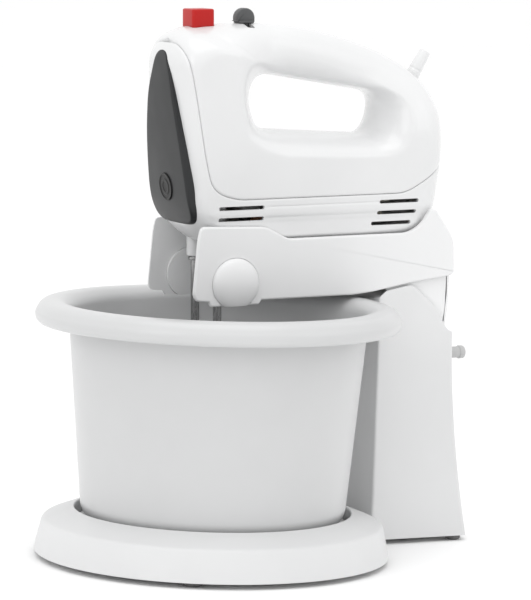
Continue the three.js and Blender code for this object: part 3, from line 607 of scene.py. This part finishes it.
def build_column():
    outer_at, inner_at = column_wall(0), column_wall(COLUMN_WALL)
    outer = [column_ring(outer_at, part) for part in np.linspace(0, 1, 36)]
    inner = [column_ring(inner_at, part) for part in np.linspace(1, 0, 8)]
    rings = outer + column_lip(outer[-1], inner[0]) + inner
    faces = sweep_faces(len(rings), len(rings[0]), close_rows=True)
    shell = make_object("column_skin", np.vstack(rings), faces, COLUMN)
    hole = prism("hole", circle_loop(*knob_centre(), 5.1), 165, 190, COLUMN, "x")
    slot = prism("slot", box_loop(60, COLUMN_LOW - 5, 130, 12.9), -32.5, 32.5, COLUMN, "y")
    shell = carve(shell, hole, slot)
    piece(join(shell, *column_posts()), "stand", ["column_shell"], STAND_WHITE)


def build_tilt_button():
    low, high = box_mm("tilt_button")
    root = low.x - BOWL_AXIS.x / MM
    tip = high.x - BOWL_AXIS.x / MM
    radius = (high.z - low.z) / 2
    profile = rounded([
        (0, root), (2.4, root), (2.4, tip - 13.4), (radius - 0.6, tip - 13.4), (radius - 0.6, tip - 5.6, 0.3),
        (radius, tip - 5.2, 0.3), (radius, tip - 1.4, 1.4), (0, tip, 0.0),
    ], closed=False)
    knob = lathe("tilt_button_skin", profile, COLUMN, 48, centre=knob_centre(), axis="x")
    # the knob wears the darkened copy of the stand's white: painted shade
    piece(knob, "tilt_release", ["tilt_button"], KNOB_WHITE_PAINTED_SHADE)


# ---------- the tilting arm, from the hinge axis
ARM_HALF = 36
ARM_WALL = 2.8
ARM_FRONT = -155.5
ARM_REAR = 33.4
DECK_TOP = 38.3
DECK_THICK = 3
CROSS_X = -112
DOME_X = -126.2
DOME_Z = 18.2
DOME_R = 16.4
DOME_RISE = 6.6


def build_arm():
    cheeks = rounded([
        (ARM_FRONT, 12, 4), (-152, 47.4, 3), (-150, 55.4, 3), (-104.3, 53.6, 4), (-88.5, 45.3, 3),
        (-1, 45.3, 6), (8, 50, 6), (15.5, 60, 2), (19, 60, 2), (ARM_REAR - 0.6, 40, 6), (ARM_REAR, 18, 0.6),
        (30.6, 15.7, 2), (3, 12.7), (-26.6, 8), (-41.3, 6.6), (-107.5, 6.8), (-109.5, 4.1, 1),
        (-143.5, 4.1, 1), (-144.9, 7.3), (-153.4, 8, 2),
    ])
    body = prism("arm_skin", cheeks, -ARM_HALF, ARM_HALF, ARM, "y", 1.4)
    inside = ARM_HALF - ARM_WALL
    tray = prism("tray", rounded([
        (-170, DECK_TOP), (ARM_REAR - 8, DECK_TOP, 6), (ARM_REAR - 3, 45, 6), (ARM_REAR - 5.5, 50, 6),
        (16.5, 66), (16.5, 80), (-170, 80),
    ]), -inside, inside, ARM)
    mouth = prism("mouth", box_loop(-170, -5, CROSS_X, 60), -inside, inside, ARM)
    below_deck = box_loop(CROSS_X + 3, 0, ARM_REAR - 3, DECK_TOP - DECK_THICK)
    hollow = prism("hollow", below_deck, -inside, inside, ARM)
    round_hole = circle_loop(DOME_X, DOME_Z, DOME_R + 0.2, 96)
    wells = prism("wells", round_hole, -ARM_HALF - 1, ARM_HALF + 1, ARM)
    body = carve(body, tray, mouth, hollow, wells)
    body = soften(body, 0.5, 2)
    body = weigh_normals(join(body, *build_knuckle()))
    # the arm's body wears the lightened copy of the stand's white: painted light
    piece(body, "arm", ["arm_cradle"], ARM_WHITE_PAINTED_LIGHT)
    cover = prism("arm_cover_skin", rounded([
        (CROSS_X + 3.3, 8.2), (-41, 8.2), (-26.6, 9.6), (-25, 12), (-25, 12.6), (-27, 12), (-41, 10.4),
        (CROSS_X + 3.3, 10.4),
    ]), -inside + 0.3, inside - 0.3, ARM, "y", 0.3)
    piece(cover, "arm", ["arm_cover"], STAND_WHITE)


def build_knuckle():
    """Two side plates, a drum round the pin and a rear skirt, between the column's ears."""
    half = ARM_HALF - COLUMN_WALL - 0.6
    back = smooth_path([(31.4, 13), (31, 4), (30.4, -6), (28.4, -17)], 5)
    front = back[::-1] - np.array([3, 0])
    skirt = prism("skirt", np.vstack([[(31.4, 36)], back, front, [(28.4, 36)]]), -half, half, ARM, "y", 0.6)
    plates = []
    for low in (-half, half - 2.5):
        outline = [(-22, 36), (30, 36), (30, 4), (27.6, -16, 2), (12, -16, 6), (-12, -10, 6), (-15, 8, 6)]
        plates.append(prism("plate", rounded(outline), low, low + 2.5, ARM, "y", 0.5))
    tube = rounded([(4.3, -half), (10.5, -half, 0.6), (10.5, half, 0.6), (4.3, half)])
    drum = lathe("drum", tube, ARM, 64, axis="y")
    return [skirt, *plates, drum]


def build_release_buttons():
    for side, word in ((-1, "near"), (1, "far")):
        face = [(DOME_R * math.sin(turn), ARM_HALF - 0.4 + DOME_RISE * math.cos(turn))
                for turn in np.linspace(0, math.pi / 2, 18)]
        profile = [*face, (DOME_R, ARM_HALF - 5), (0, ARM_HALF - 5)]
        profile = [(r, side * y) for r, y in profile]
        dome = lathe(f"release_button_{word}_skin", profile, ARM, 96, centre=(DOME_X, DOME_Z), axis="y")
        below = prism("below", box_loop(DOME_X - 20, DOME_Z - 22, DOME_X + 20, DOME_Z - 14.1), -60, 60, ARM)
        dome = soften(carve(dome, below), 0.5, 3)
        piece(dome, f"{word}_release", [f"release_button_{word}"], DOME_WHITE)


# ---------- the mixer's body, from its spindle plane
MIXER_HALF = 34
SHELL_WALL = 2.5
SEAM_GAP = 0.26
CENTRE = np.array([72.0, 90.0])      # middle of the finger opening, as (x, z)

SIDE_VIEW = [
    (-29.3, 76), (-30.5, 95), (-31.5, 112), (-31.8, 122), (-29.4, 131), (-24.8, 137.2), (-18, 140.6),
    (-8, 142.1), (14, 142.8), (40, 142.4), (70, 138.6), (98, 131.6), (126, 121), (150, 106), (162, 88),
    (165, 66), (163, 40), (157, 16), (143, 2.5), (110, 0), (60, 0), (20, 0), (2, 1.2), (-8, 5), (-16.3, 11),
    (-21.8, 18), (-24.8, 28), (-25.8, 40), (-27.6, 57),
]
OPENING = [(24, 95, 9), (35, 111, 12), (122, 96, 13), (118, 69.5, 13), (31, 75.5, 12)]
# where the side's bevel round the opening ends
FLARE = [
    (8.6, 102, 6), (12.8, 116, 6), (24, 124, 6), (39, 127, 6), (65.5, 123, 6), (87, 116, 6), (112, 107, 8),
    (135, 92, 10), (137, 74, 8), (130, 60.5, 8), (118, 56, 6), (80, 56.5, 10), (39, 58.6, 6), (24, 63.6, 6),
    (12, 73, 6),
]
SEAM = [
    (-29, 190), (-28, 133), (-15.6, 57, 16), (-11, 38.5, 12), (5, 32.3, 14), (128, 32.3, 12), (142, 40, 10),
    (190, 66), (230, 190),
]
VENTS = [(-7, 25, 27.2), (-7, 25, 20.1), (108.5, 137, 27.3), (107, 135.5, 20.2), (103, 132, 13.2)]
EJECT = {"x": -5.6, "half_x": 7.7, "half_y": 8.6, "top": 152.6}
LEVER = {"x": 26.6, "radius": 6.4, "middle": 146.1, "half_y": 3.4, "foot": 142.7}
CORD = {"x": 148, "z": 103, "lean": 32}


def smooth(low, high, value):
    t = np.clip((value - low) / (high - low), 0, 1)
    return t * t * (3 - 2 * t)


def closed_curve(points, per_span=24):
    """A closed centripetal Catmull-Rom line."""
    points = np.array(points, float)
    count = len(points)
    t = np.linspace(0, 1, per_span, endpoint=False)[:, None]
    out = []
    for i in range(count):
        a, b, c, d = (points[(i + k) % count] for k in (-1, 0, 1, 2))
        before, here, after = (math.sqrt(np.linalg.norm(q - p)) for p, q in ((a, b), (b, c), (c, d)))
        start = ((b - a) / before - (c - a) / (before + here) + (c - b) / here) * here
        end = ((c - b) / here - (d - b) / (here + after) + (d - c) / after) * here
        out.append(b + start * t + (-3 * b + 3 * c - 2 * start - end) * t ** 2
                   + (2 * b - 2 * c + start + end) * t ** 3)
    return np.vstack(out)


def even_spacing(loop, count):
    """A closed loop at evenly spaced points."""
    closed = np.vstack([loop, loop[:1]])
    run = np.concatenate([[0], np.cumsum(np.linalg.norm(np.diff(closed, axis=0), axis=1))])
    at = np.linspace(0, run[-1], count, endpoint=False)
    return np.stack([np.interp(at, run, closed[:, k]) for k in (0, 1)], 1)


def blur_round(values, width):
    """Smooths values round a loop."""
    reach = int(3 * width)
    weights = np.exp(-0.5 * (np.arange(-reach, reach + 1) / width) ** 2)
    padded = np.concatenate([values[-reach:], values, values[:reach]])
    return np.convolve(padded, weights / weights.sum(), "valid")


class Polar:
    """Values round the finger opening's centre, by angle."""

    def __init__(self, angles, values):
        order = np.argsort(angles)
        self.angles, self.values = angles[order], values[order]

    def __call__(self, angle):
        return np.interp(angle, self.angles, self.values, period=2 * math.pi)

    @classmethod
    def reach(cls, loop):
        """The distance from the centre to a loop."""
        loop = even_spacing(np.array(loop, float), 3000)
        away = loop - CENTRE
        return cls(np.arctan2(away[:, 1], away[:, 0]), np.linalg.norm(away, axis=1))


RAYS = 336
RIM = even_spacing(closed_curve(SIDE_VIEW), RAYS)
RIM_AWAY = RIM - CENTRE
RIM_REACH = np.linalg.norm(RIM_AWAY, axis=1)
WAY = RIM_AWAY / RIM_REACH[:, None]
ANGLE = np.arctan2(WAY[:, 1], WAY[:, 0])
TANGENT = np.roll(RIM, -1, 0) - np.roll(RIM, 1, 0)
TANGENT /= np.linalg.norm(TANGENT, axis=1, keepdims=True)
OUTWARD = np.stack([-TANGENT[:, 1], TANGENT[:, 0]], 1)
LEAN = np.maximum(0.35, np.sum(WAY * OUTWARD, 1))


def edge_radius():
    """How far in from the outline the body takes to reach full width, by the way the outline faces."""
    x, (nx, nz) = RIM[:, 0], OUTWARD.T
    nose = 13 * np.maximum(0, -nx) ** 1.5
    tail = 22 * np.maximum(0, nx) ** 1.5
    top = (18 + 20 * smooth(45, 0, x)) * np.maximum(0, nz) ** 1.5
    under = 9 * np.maximum(0, -nz) ** 1.5
    return blur_round(np.maximum(8, nose + tail + top + under), 5)


def body_bands(inset):
    """The opening's edge, the outline and how deep the rounding goes in from each, by angle."""
    inner = Polar.reach(rounded(OPENING, 12))(ANGLE) + inset
    outer = RIM_REACH - inset / LEAN
    deep_in = Polar.reach(rounded(FLARE, 12))(ANGLE) - inner
    deep_out = (edge_radius() - inset) / LEAN
    ratio = 1.04 * (outer - inner) / (deep_in + deep_out)
    squeeze = blur_round((1 + ratio ** -8) ** (-1 / 8), 4)
    return {
        "inner": Polar(ANGLE, inner), "outer": Polar(ANGLE, outer),
        "deep_in": Polar(ANGLE, deep_in * squeeze), "deep_out": Polar(ANGLE, deep_out * squeeze),
        "power": Polar(ANGLE, 2 + 0.6 * blur_round(np.maximum(0, -OUTWARD[:, 0]) ** 2, 5)), "inset": inset,
    }


def rise(depth, reach, power):
    t = np.clip(depth / reach, 0, 1)
    return (1 - (1 - t) ** power) ** (1 / power)


def full_half(x, z):
    """The body's half width away from its edges: slim at the grip, slightly slimmer inside the arm."""
    slim = smooth(68, 112, z) * smooth(4, 44, x) * (1 - 0.45 * smooth(112, 150, x))
    seated = 1.7 * (1 - smooth(16, 24, z))
    return MIXER_HALF - 17.5 * slim - seated


def body_half(bands, x, z):
    """Half the body's width at a place of its side view."""
    away = np.stack([x - CENTRE[0], z - CENTRE[1]], -1)
    reach = np.linalg.norm(away, axis=-1)
    angle = np.arctan2(away[..., 1], away[..., 0])
    near_opening = rise(reach - bands["inner"](angle), bands["deep_in"](angle), 1.7)
    near_outline = rise(bands["outer"](angle) - reach, bands["deep_out"](angle), bands["power"](angle))
    return (full_half(x, z) - bands["inset"]) * near_opening * near_outline


OUTER = body_bands(0)
INNER = body_bands(SHELL_WALL)
SEAM_REACH = Polar.reach(rounded(SEAM, 12))(ANGLE)


def seam_lean():
    """The cosine between each ray and the seam's normal: it turns length along a ray into distance across."""
    turn = np.unwrap(np.stack([np.roll(ANGLE, 1), np.roll(ANGLE, -1)]), axis=0)
    slope = (np.roll(SEAM_REACH, -1) - np.roll(SEAM_REACH, 1)) / (turn[1] - turn[0])
    return np.maximum(0.6, SEAM_REACH / np.hypot(SEAM_REACH, slope))


SEAM_LEAN = seam_lean()


def groove_depth(x, z, to_seam):
    """How far the skin dips: a rounded lip along the seam, and faint lines joining the vents."""
    lip = 0.9 * (1 - np.clip(to_seam / 1.3, 0, 1)) ** 2
    lines = 0
    for level in (27.2, 20.1):
        lines = lines + 0.4 * np.exp(-((z - level) / 0.6) ** 2) * smooth(22, 30, x) * smooth(114, 106, x)
    return lip + lines


def skin_rows(bands, start, end, rows, side, seam):
    """Rows of the skin between two distances from the centre, closer together at both ends."""
    part = (1 - np.cos(np.linspace(0, math.pi, rows))) / 2
    reach = start[:, None] + (end - start)[:, None] * part[None, :]
    x = CENTRE[0] + WAY[:, :1] * reach
    z = CENTRE[1] + WAY[:, 1:] * reach
    half = body_half(bands, x, z)
    points = np.stack([x, side * half, z], -1)
    if seam is not None:
        step = 0.3
        along_x = (body_half(bands, x + step, z) - body_half(bands, x - step, z)) / (2 * step)
        along_z = (body_half(bands, x, z + step) - body_half(bands, x, z - step)) / (2 * step)
        normal = np.stack([-along_x, np.full_like(x, side), -along_z], -1)
        normal /= np.linalg.norm(normal, axis=-1, keepdims=True)
        depth = groove_depth(x, z, np.abs(reach - seam[:, None]) * SEAM_LEAN[:, None])
        points -= normal * (depth * np.minimum(1, half / 4))[..., None]
    return points


def ring_faces(rays, count, skip=(), open_rays=None, closed=True):
    """Quads between neighbouring rays; columns in skip are left out where no ray is open."""
    faces = []
    for i in range(rays if closed else rays - 1):
        nxt = (i + 1) % rays
        for j in range(count):
            if j in skip and not (open_rays[i] or open_rays[nxt]):
                continue
            k = (j + 1) % count
            faces.append((i * count + j, i * count + k, nxt * count + k, nxt * count + j))
    return faces


def shell_section(start_out, end_out, start_in, end_in, rows, inner_rows, seam_first):
    """One closed section for each ray: the outer skin over both sides, then the inner skin back."""
    def both_sides(bands, start, end, count, seam):
        near = skin_rows(bands, start, end, count, -1, seam)
        far = skin_rows(bands, start, end, count, 1, seam)
        return (near, far[:, ::-1]) if seam_first else (near[:, ::-1], far)
    near_out, far_out = both_sides(OUTER, start_out, end_out, rows, SEAM_REACH)
    near_in, far_in = both_sides(INNER, start_in, end_in, inner_rows, None)
    return np.concatenate([near_out, far_out, far_in[:, ::-1], near_in[:, ::-1]], 1)


def handle_mesh(rows=46, inner_rows=16):
    """The upper shell: from the finger opening to the seam, or to the outline where no seam crosses."""
    edge = np.minimum(SEAM_REACH - SEAM_GAP / 2 / SEAM_LEAN, RIM_REACH)
    inner_edge = np.minimum(edge, INNER["outer"](ANGLE))
    start, inner_start = OUTER["inner"](ANGLE), INNER["inner"](ANGLE)
    points = shell_section(start, edge, inner_start, inner_edge, rows, inner_rows, False)
    is_open = edge < RIM_REACH - 1e-6
    count = points.shape[1]
    lips = (2 * rows - 1, count - 1)
    faces = ring_faces(RAYS, count, lips, is_open)
    return points.reshape(-1, 3), faces


def housing_mesh(rows=64, inner_rows=16):
    """The lower shell and nose: from the seam out to the outline."""
    start = SEAM_REACH + SEAM_GAP / 2 / SEAM_LEAN
    crossing = start < RIM_REACH - 0.3
    order = np.roll(np.arange(RAYS), -int(np.argmax(~crossing)))
    kept = order[crossing[order]]
    inner_edge = np.maximum(INNER["outer"](ANGLE), start)
    points = shell_section(start, RIM_REACH, start, inner_edge, rows, inner_rows, True)[kept]
    count = points.shape[1]
    faces = ring_faces(len(kept), count, closed=False)
    for row in (0, len(kept) - 1):
        faces.append([row * count + j for j in range(2 * rows)])
    return points.reshape(-1, 3), faces


def vent_cutter():
    """Round-ended slots through both side walls."""
    slots = []
    for x0, x1, z in VENTS:
        for low, high in ((-46, -22), (22, 46)):
            slots.append(prism("slot", box_loop(x0, z - 1.2, x1, z + 1.2, 1.15, 5), low, high, MIXER))
    return join(*slots)


def gland_place():
    """The frame of the cord's sleeve, which leans back from the mixer's tail."""
    lean = Matrix.Rotation(math.radians(CORD["lean"]), 4, "Y")
    return MIXER @ Matrix.Translation((CORD["x"], 0, CORD["z"])) @ lean


def build_shells():
    housing = make_object("motor_housing_skin", *housing_mesh(), MIXER)
    sockets = [lathe("socket", [(0.01, -10), (7.4, -10), (7.4, 50), (0.01, 50)], MIXER, 48,
                     centre=(0, side * SPINDLE_Y)) for side in (-1, 1)]
    housing = carve(housing, vent_cutter(), *sockets)
    piece(housing, "mixer", ["motor_housing"], GLOSS_WHITE)
    handle = make_object("handle_shell_skin", *handle_mesh(), MIXER)
    x, half_x, half_y = EJECT["x"], EJECT["half_x"] + 0.3, EJECT["half_y"] + 0.3
    button = prism("well", box_loop(x - half_x, -half_y, x + half_x, half_y, 2.6), 125, 165, MIXER, "z")
    half_slot = 11.4
    slot_loop = box_loop(LEVER["x"] - 2.8, -half_slot, LEVER["x"] + 2.8, half_slot, 1.5)
    slot = prism("slot", slot_loop, 130, 160, MIXER, "z")
    gland = lathe("gland", [(0.01, -20), (5.2, -20), (5.2, 20), (0.01, 20)], gland_place(), 48)
    handle = carve(handle, button, slot, gland)
    piece(handle, "mixer", ["handle_shell"], GLOSS_WHITE)


# ---------- the nose's dark panel and its badge
PANEL_SIDE = [(7.5, 126, 8), (16.2, 108, 12), (24.5, 75, 20), (28.8, 40, 14), (28, 17, 17)]
PANEL = [
    (0, 128, 5), *PANEL_SIDE, (0, 15.5, 16), *[(-y, z, radius) for y, z, radius in reversed(PANEL_SIDE)],
]
PANEL_MIDDLE = np.array([0.0, 60.0])
PANEL_BEND = 0.0012      # how fast the panel's front falls back to its sides
BADGE_Z = 39.7
BADGE_R = 9


def nose_x(y, z):
    """Where the nose's skin stands in front, by bisection."""
    low = np.full_like(z, -45.0)
    high = np.full_like(z, 5.0)
    for _ in range(34):
        middle = (low + high) / 2
        inside = body_half(OUTER, middle, z) >= np.maximum(np.abs(y), 0.1)
        high = np.where(inside, middle, high)
        low = np.where(inside, low, middle)
    return (low + high) / 2


def panel_proud(z):
    """How far the panel stands out of the nose: most in the middle, hardly at its two ends."""
    return 0.4 + 2.3 * smooth(126, 92, z) * smooth(18, 42, z)


def panel_front(places, sunk=0.0):
    """Places (y, z) of the front view put on the panel's front, or sunk below it."""
    y, z = places[:, 0], places[:, 1]
    x = nose_x(np.zeros_like(z), z) - panel_proud(z) + PANEL_BEND * y ** 2 + sunk
    return np.stack([x, y, z], 1)


def nose_skin(places, sunk):
    """Places (y, z) of the front view put at a depth under the nose's skin."""
    y, z = places[:, 0], places[:, 1]
    return np.stack([nose_x(y, z) + sunk, y, z], 1)


def build_panel():
    border = even_spacing(rounded(PANEL, 12), 260)
    edge, sunk = 1.5, 1.0
    foot = nose_skin(border, sunk)
    rims = []
    for turn in np.linspace(0, math.pi / 2, 8):
        ring = panel_front(offset_loop(border, edge * (1 - math.cos(turn))), edge * (1 - math.sin(turn)))
        ring[:, 0] = np.minimum(ring[:, 0], foot[:, 0] - 0.3)
        rims.append(ring)
    top = offset_loop(border, edge)
    front = [panel_front(PANEL_MIDDLE + (top - PANEL_MIDDLE) * part) for part in np.linspace(1, 0, 20)[1:]]
    back = [nose_skin(PANEL_MIDDLE + (border - PANEL_MIDDLE) * part, sunk)
            for part in np.linspace(0, 1, 12)[:-1]]
    rings = [*back, foot, *rims, *front]
    panel = make_object("front_panel_skin", np.vstack(rings), sweep_faces(len(rings), len(border)), MIXER)
    piece(panel, "mixer", ["front_panel"], DARK_PANEL)


def build_badge():
    """A plain round disc with a raised rim and ring, square to the panel's front."""
    above, middle, below = (Vector(panel_front(np.array([[0.0, BADGE_Z + k]]))[0]) for k in (6, 0, -6))
    up = (above - below).normalized()
    out = Vector((0, 1, 0)).cross(up) * -1
    place = MIXER @ Matrix.Translation(middle) @ Matrix((up.cross(out), up, out)).transposed().to_4x4()
    profile = rounded([
        (0, -0.5), (BADGE_R, -0.5, 0.1), (BADGE_R, 0.7, 0.4), (BADGE_R - 1.1, 0.7, 0.3),
        (BADGE_R - 1.5, 0.3, 0.3), (5.4, 0.3, 0.3), (5.0, 0.6, 0.3), (3.6, 0.6, 0.3), (3.2, 0.3, 0.3),
        (0, 0.3),
    ], closed=False)
    piece(lathe("front_badge_skin", profile, place, 72), "mixer", ["front_badge"], BADGE_DARK)


# ---------- controls and the cord's sleeve
def build_eject_button():
    """A cap over its spring, on a stem that reaches down to the yoke."""
    x, half_x, half_y, top = EJECT["x"], EJECT["half_x"], EJECT["half_y"], EJECT["top"]
    cap_low, pocket_top, stem_low = 137, 142, 60
    outline = box_loop(x - half_x, -half_y, x + half_x, half_y, 2.4, 8)
    cap = prism("eject_button_skin", outline, cap_low, top, MIXER, "z", 1.2)
    below = cap_low - 7
    room = [(0.01, below), (7.25, below), (7.25, pocket_top), (0.01, pocket_top)]
    cap = carve(cap, lathe("pocket", room, MIXER, 48, centre=(x, 0)))
    stem = prism("stem", box_loop(x - 3, -4, x + 3, 4, 0.6), stem_low, pocket_top + 1, MIXER, "z", 0.3)
    piece(join(cap, stem), "eject", ["eject_button"], SIGNAL_RED)


def build_speed_lever():
    """A half disc on a low plinth, with a neck through the slot."""
    x, radius, middle, half_y, foot = (LEVER[key] for key in ("x", "radius", "middle", "half_y", "foot"))
    outline = [(x + radius * math.cos(turn), middle + radius * math.sin(turn))
               for turn in np.linspace(0, math.pi * 1.06, 33)]
    outline += [(x - radius - 0.9, foot + 1.5), (x - 4, foot + 0.9), (x + radius, foot + 0.9)]
    disc = prism("speed_lever_skin", outline, -half_y, half_y, MIXER, "y", 0.9)
    plinth_loop = box_loop(x - 5.4, -4.8, x + radius - 0.8, 4.8, 1.6)
    plinth = prism("plinth", plinth_loop, foot + 0.1, foot + 1.8, MIXER, "z", 0.5)
    neck = prism("neck", box_loop(x - 2.3, -3, x + 2.3, 3, 0.5), foot - 9, foot + 0.5, MIXER, "z")
    piece(join(disc, plinth, neck), "speed_lever", ["speed_lever"], DARK_GREY)


def build_cord_sleeve():
    profile = rounded([
        (2.6, -8), (4.9, -8, 0.5), (4.9, -2, 0.5), (4.5, 7, 1), (4.1, 7.6, 0.3), (4.1, 8.4, 0.3),
        (4.4, 9, 0.3), (3.6, 22, 0.6), (2.6, 22, 0.3),
    ], steps=4)
    sleeve = lathe("strain_relief_skin", profile, gland_place(), 64)
    piece(sleeve, "mixer", ["strain_relief"], GLOSS_WHITE)


# ---------- spindles and whisks
# one wire's bow, from the hub down: [distance from the whisk's axis, height from the spindle's foot]
WIRE_BOW = [(3.2, -56), (5, -66), (11, -79), (18, -95), (21, -112), (20.4, -130), (15, -145), (7, -153.5)]
WIRE_R = 1.15


def whisk_wire(centre_y, angle):
    """A closed bow of wire in an upright plane through the whisk's axis."""
    c, s = math.cos(angle), math.sin(angle)
    down, up = ([(side * r * c, centre_y + side * r * s, z) for r, z in WIRE_BOW] for side in (-1, 1))
    path = smooth_path([*down, (0, centre_y, -156), *up[::-1]], 8)
    return rod("wire", path, WIRE_R, MIXER)


def build_whisks():
    for side, word, turn in ((-1, "near", 0.0), (1, "far", math.pi / 4)):
        centre = (0, side * SPINDLE_Y)
        sleeve = lathe(f"spindle_sleeve_{word}_skin", rounded([
            (3.1, -7.5, 0.3), (5.5, -7.5, 0.6), (5.5, 46, 0.4), (3.1, 46, 0.3),
        ]), MIXER, 56, centre=centre)
        piece(sleeve, f"{word}_drive", [f"spindle_sleeve_{word}"], GLOSS_WHITE)
        shaft = lathe(f"whisk_shaft_{word}_skin", rounded([
            (0, -49.7), (2.75, -49.7, 0.3), (2.75, -10.4), (4.4, -10.3, 0.4), (4.4, -8.1, 0.4), (2.75, -8),
            (2.75, 40, 0.5), (2, 42, 0.6), (0, 42),
        ], closed=False), MIXER, 40, centre=centre)
        piece(shaft, f"{word}_whisk", [f"whisk_shaft_{word}"], DARK_STEEL)
        hub = lathe(f"whisk_wires_{word}_skin", rounded([
            (0, -61), (5, -61, 0.6), (5.6, -60, 0.6), (5.6, -52, 0.8), (4.6, -50, 0.6), (0, -50),
        ], closed=False), MIXER, 48, centre=centre)
        wires = [whisk_wire(centre[1], angle) for angle in (turn, turn + math.pi / 2)]
        piece(join(hub, *wires), f"{word}_whisk", [f"whisk_wires_{word}"], STEEL)


# ---------- what stays as the CAD made it
KEPT = {
    "natural_nylon": NYLON, "laminated_steel": LAMINATED, "copper": COPPER, "switch_body": BLACK_PLASTIC,
    "steel": STEEL, "stand_white": STAND_WHITE, "gloss_white": GLOSS_WHITE, "dark_grey": DARK_GREY,
    "signal_red": SIGNAL_RED, "rubber": RUBBER, "milky_white": MILKY_WHITE,
}


def finish_kept_nodes():
    slots = {part["node"]: part["material_slot"] for part in frame["record"]["subparts"]}
    for name, node in frame["nodes"].items():
        node.data.materials.clear()
        node.data.materials.append(KEPT[slots[name]])


# ---------- floor, light and camera
def build_floor():
    reach = 40.0
    corners = [(-reach, -reach, 0), (reach, -reach, 0), (reach, reach, 0), (-reach, reach, 0)]
    floor = make_object("studio_floor", corners, [(0, 1, 2, 3)], Matrix.Identity(4))
    material, nodes, links = new_material("studio_white")
    shader = nodes["Principled BSDF"]
    where = nodes.new("ShaderNodeTexCoord")
    mottle = noise(nodes, links, where, 3.0)
    tone = blend_colors(nodes, links, mottle.outputs["Fac"], grey(0.95), grey(0.96))
    links.new(tone, shader.inputs["Base Color"])
    shader.inputs["Roughness"].default_value = 0.9
    floor.data.materials.append(material)


def build_light():
    world = bpy.data.worlds.new("studio")
    world.use_nodes = True
    world.node_tree.nodes["Background"].inputs["Color"].default_value = (1, 1, 1, 1)
    world.node_tree.nodes["Background"].inputs["Strength"].default_value = 1.05
    bpy.context.scene.world = world
    for name, place, target, width, power in (
        ("overhead", (-0.2, -0.3, 2.2), (0, 0, 0.15), 2.2, 13),
        ("front_left", (-2.4, -1.2, 1.5), (0, 0, 0.2), 1.6, 8),
        ("right", (1.6, -1.8, 1.4), (0, 0, 0.2), 1.6, 3),
    ):
        light = bpy.data.lights.new(name, "AREA")
        light.shape = "DISK"
        light.size = width
        light.energy = power
        lamp = bpy.data.objects.new(name, light)
        lamp.location = place
        lamp.rotation_euler = (Vector(target) - Vector(place)).to_track_quat("-Z", "Y").to_euler()
        bpy.context.scene.collection.objects.link(lamp)
    view = bpy.context.scene.view_settings
    view.view_transform = "Standard"
    view.look = "None"
    view.exposure = 0.0


CAMERA = {
    "turn": math.radians(26.0), "yaw": 0.013, "pitch": 0.1092, "roll": math.radians(1.90),
    "distance": 2.2477, "height": 0.412, "focal_mm": 214.57, "sensor_mm": 36.0,
}


def to_row_frame(right, away, up):
    """A direction told from where the camera stands, in the row frame."""
    c, s = math.cos(CAMERA["turn"]), math.sin(CAMERA["turn"])
    return Vector((right * c + away * s, -right * s + away * c, up))


def build_camera():
    yaw, pitch, roll = CAMERA["yaw"], CAMERA["pitch"], CAMERA["roll"]
    level_part = math.cos(pitch)
    forward = to_row_frame(math.sin(yaw) * level_part, math.cos(yaw) * level_part, -math.sin(pitch))
    level = forward.cross(Vector((0, 0, 1))).normalized()
    upright = level.cross(forward)
    right = level * math.cos(roll) + upright * math.sin(roll)
    up = upright * math.cos(roll) - level * math.sin(roll)
    data = bpy.data.cameras.new("photo_view")
    data.lens = CAMERA["focal_mm"]
    data.sensor_fit = "VERTICAL"
    data.sensor_height = CAMERA["sensor_mm"]
    data.clip_end = 50
    camera = bpy.data.objects.new("photo_view", data)
    turn = Matrix((right, up, -forward)).transposed().to_4x4()
    stand = ON_TABLE + to_row_frame(0, -CAMERA["distance"], CAMERA["height"])
    camera.matrix_world = Matrix.Translation(stand) @ turn
    bpy.context.scene.collection.objects.link(camera)
    bpy.context.scene.camera = camera


finish_kept_nodes()
build_base()
build_feet()
build_turntable()
build_bowl()
build_column()
build_tilt_button()
build_arm()
build_release_buttons()
build_shells()
build_panel()
build_badge()
build_eject_button()
build_speed_lever()
build_cord_sleeve()
build_whisks()
build_floor()
build_light()
build_camera()
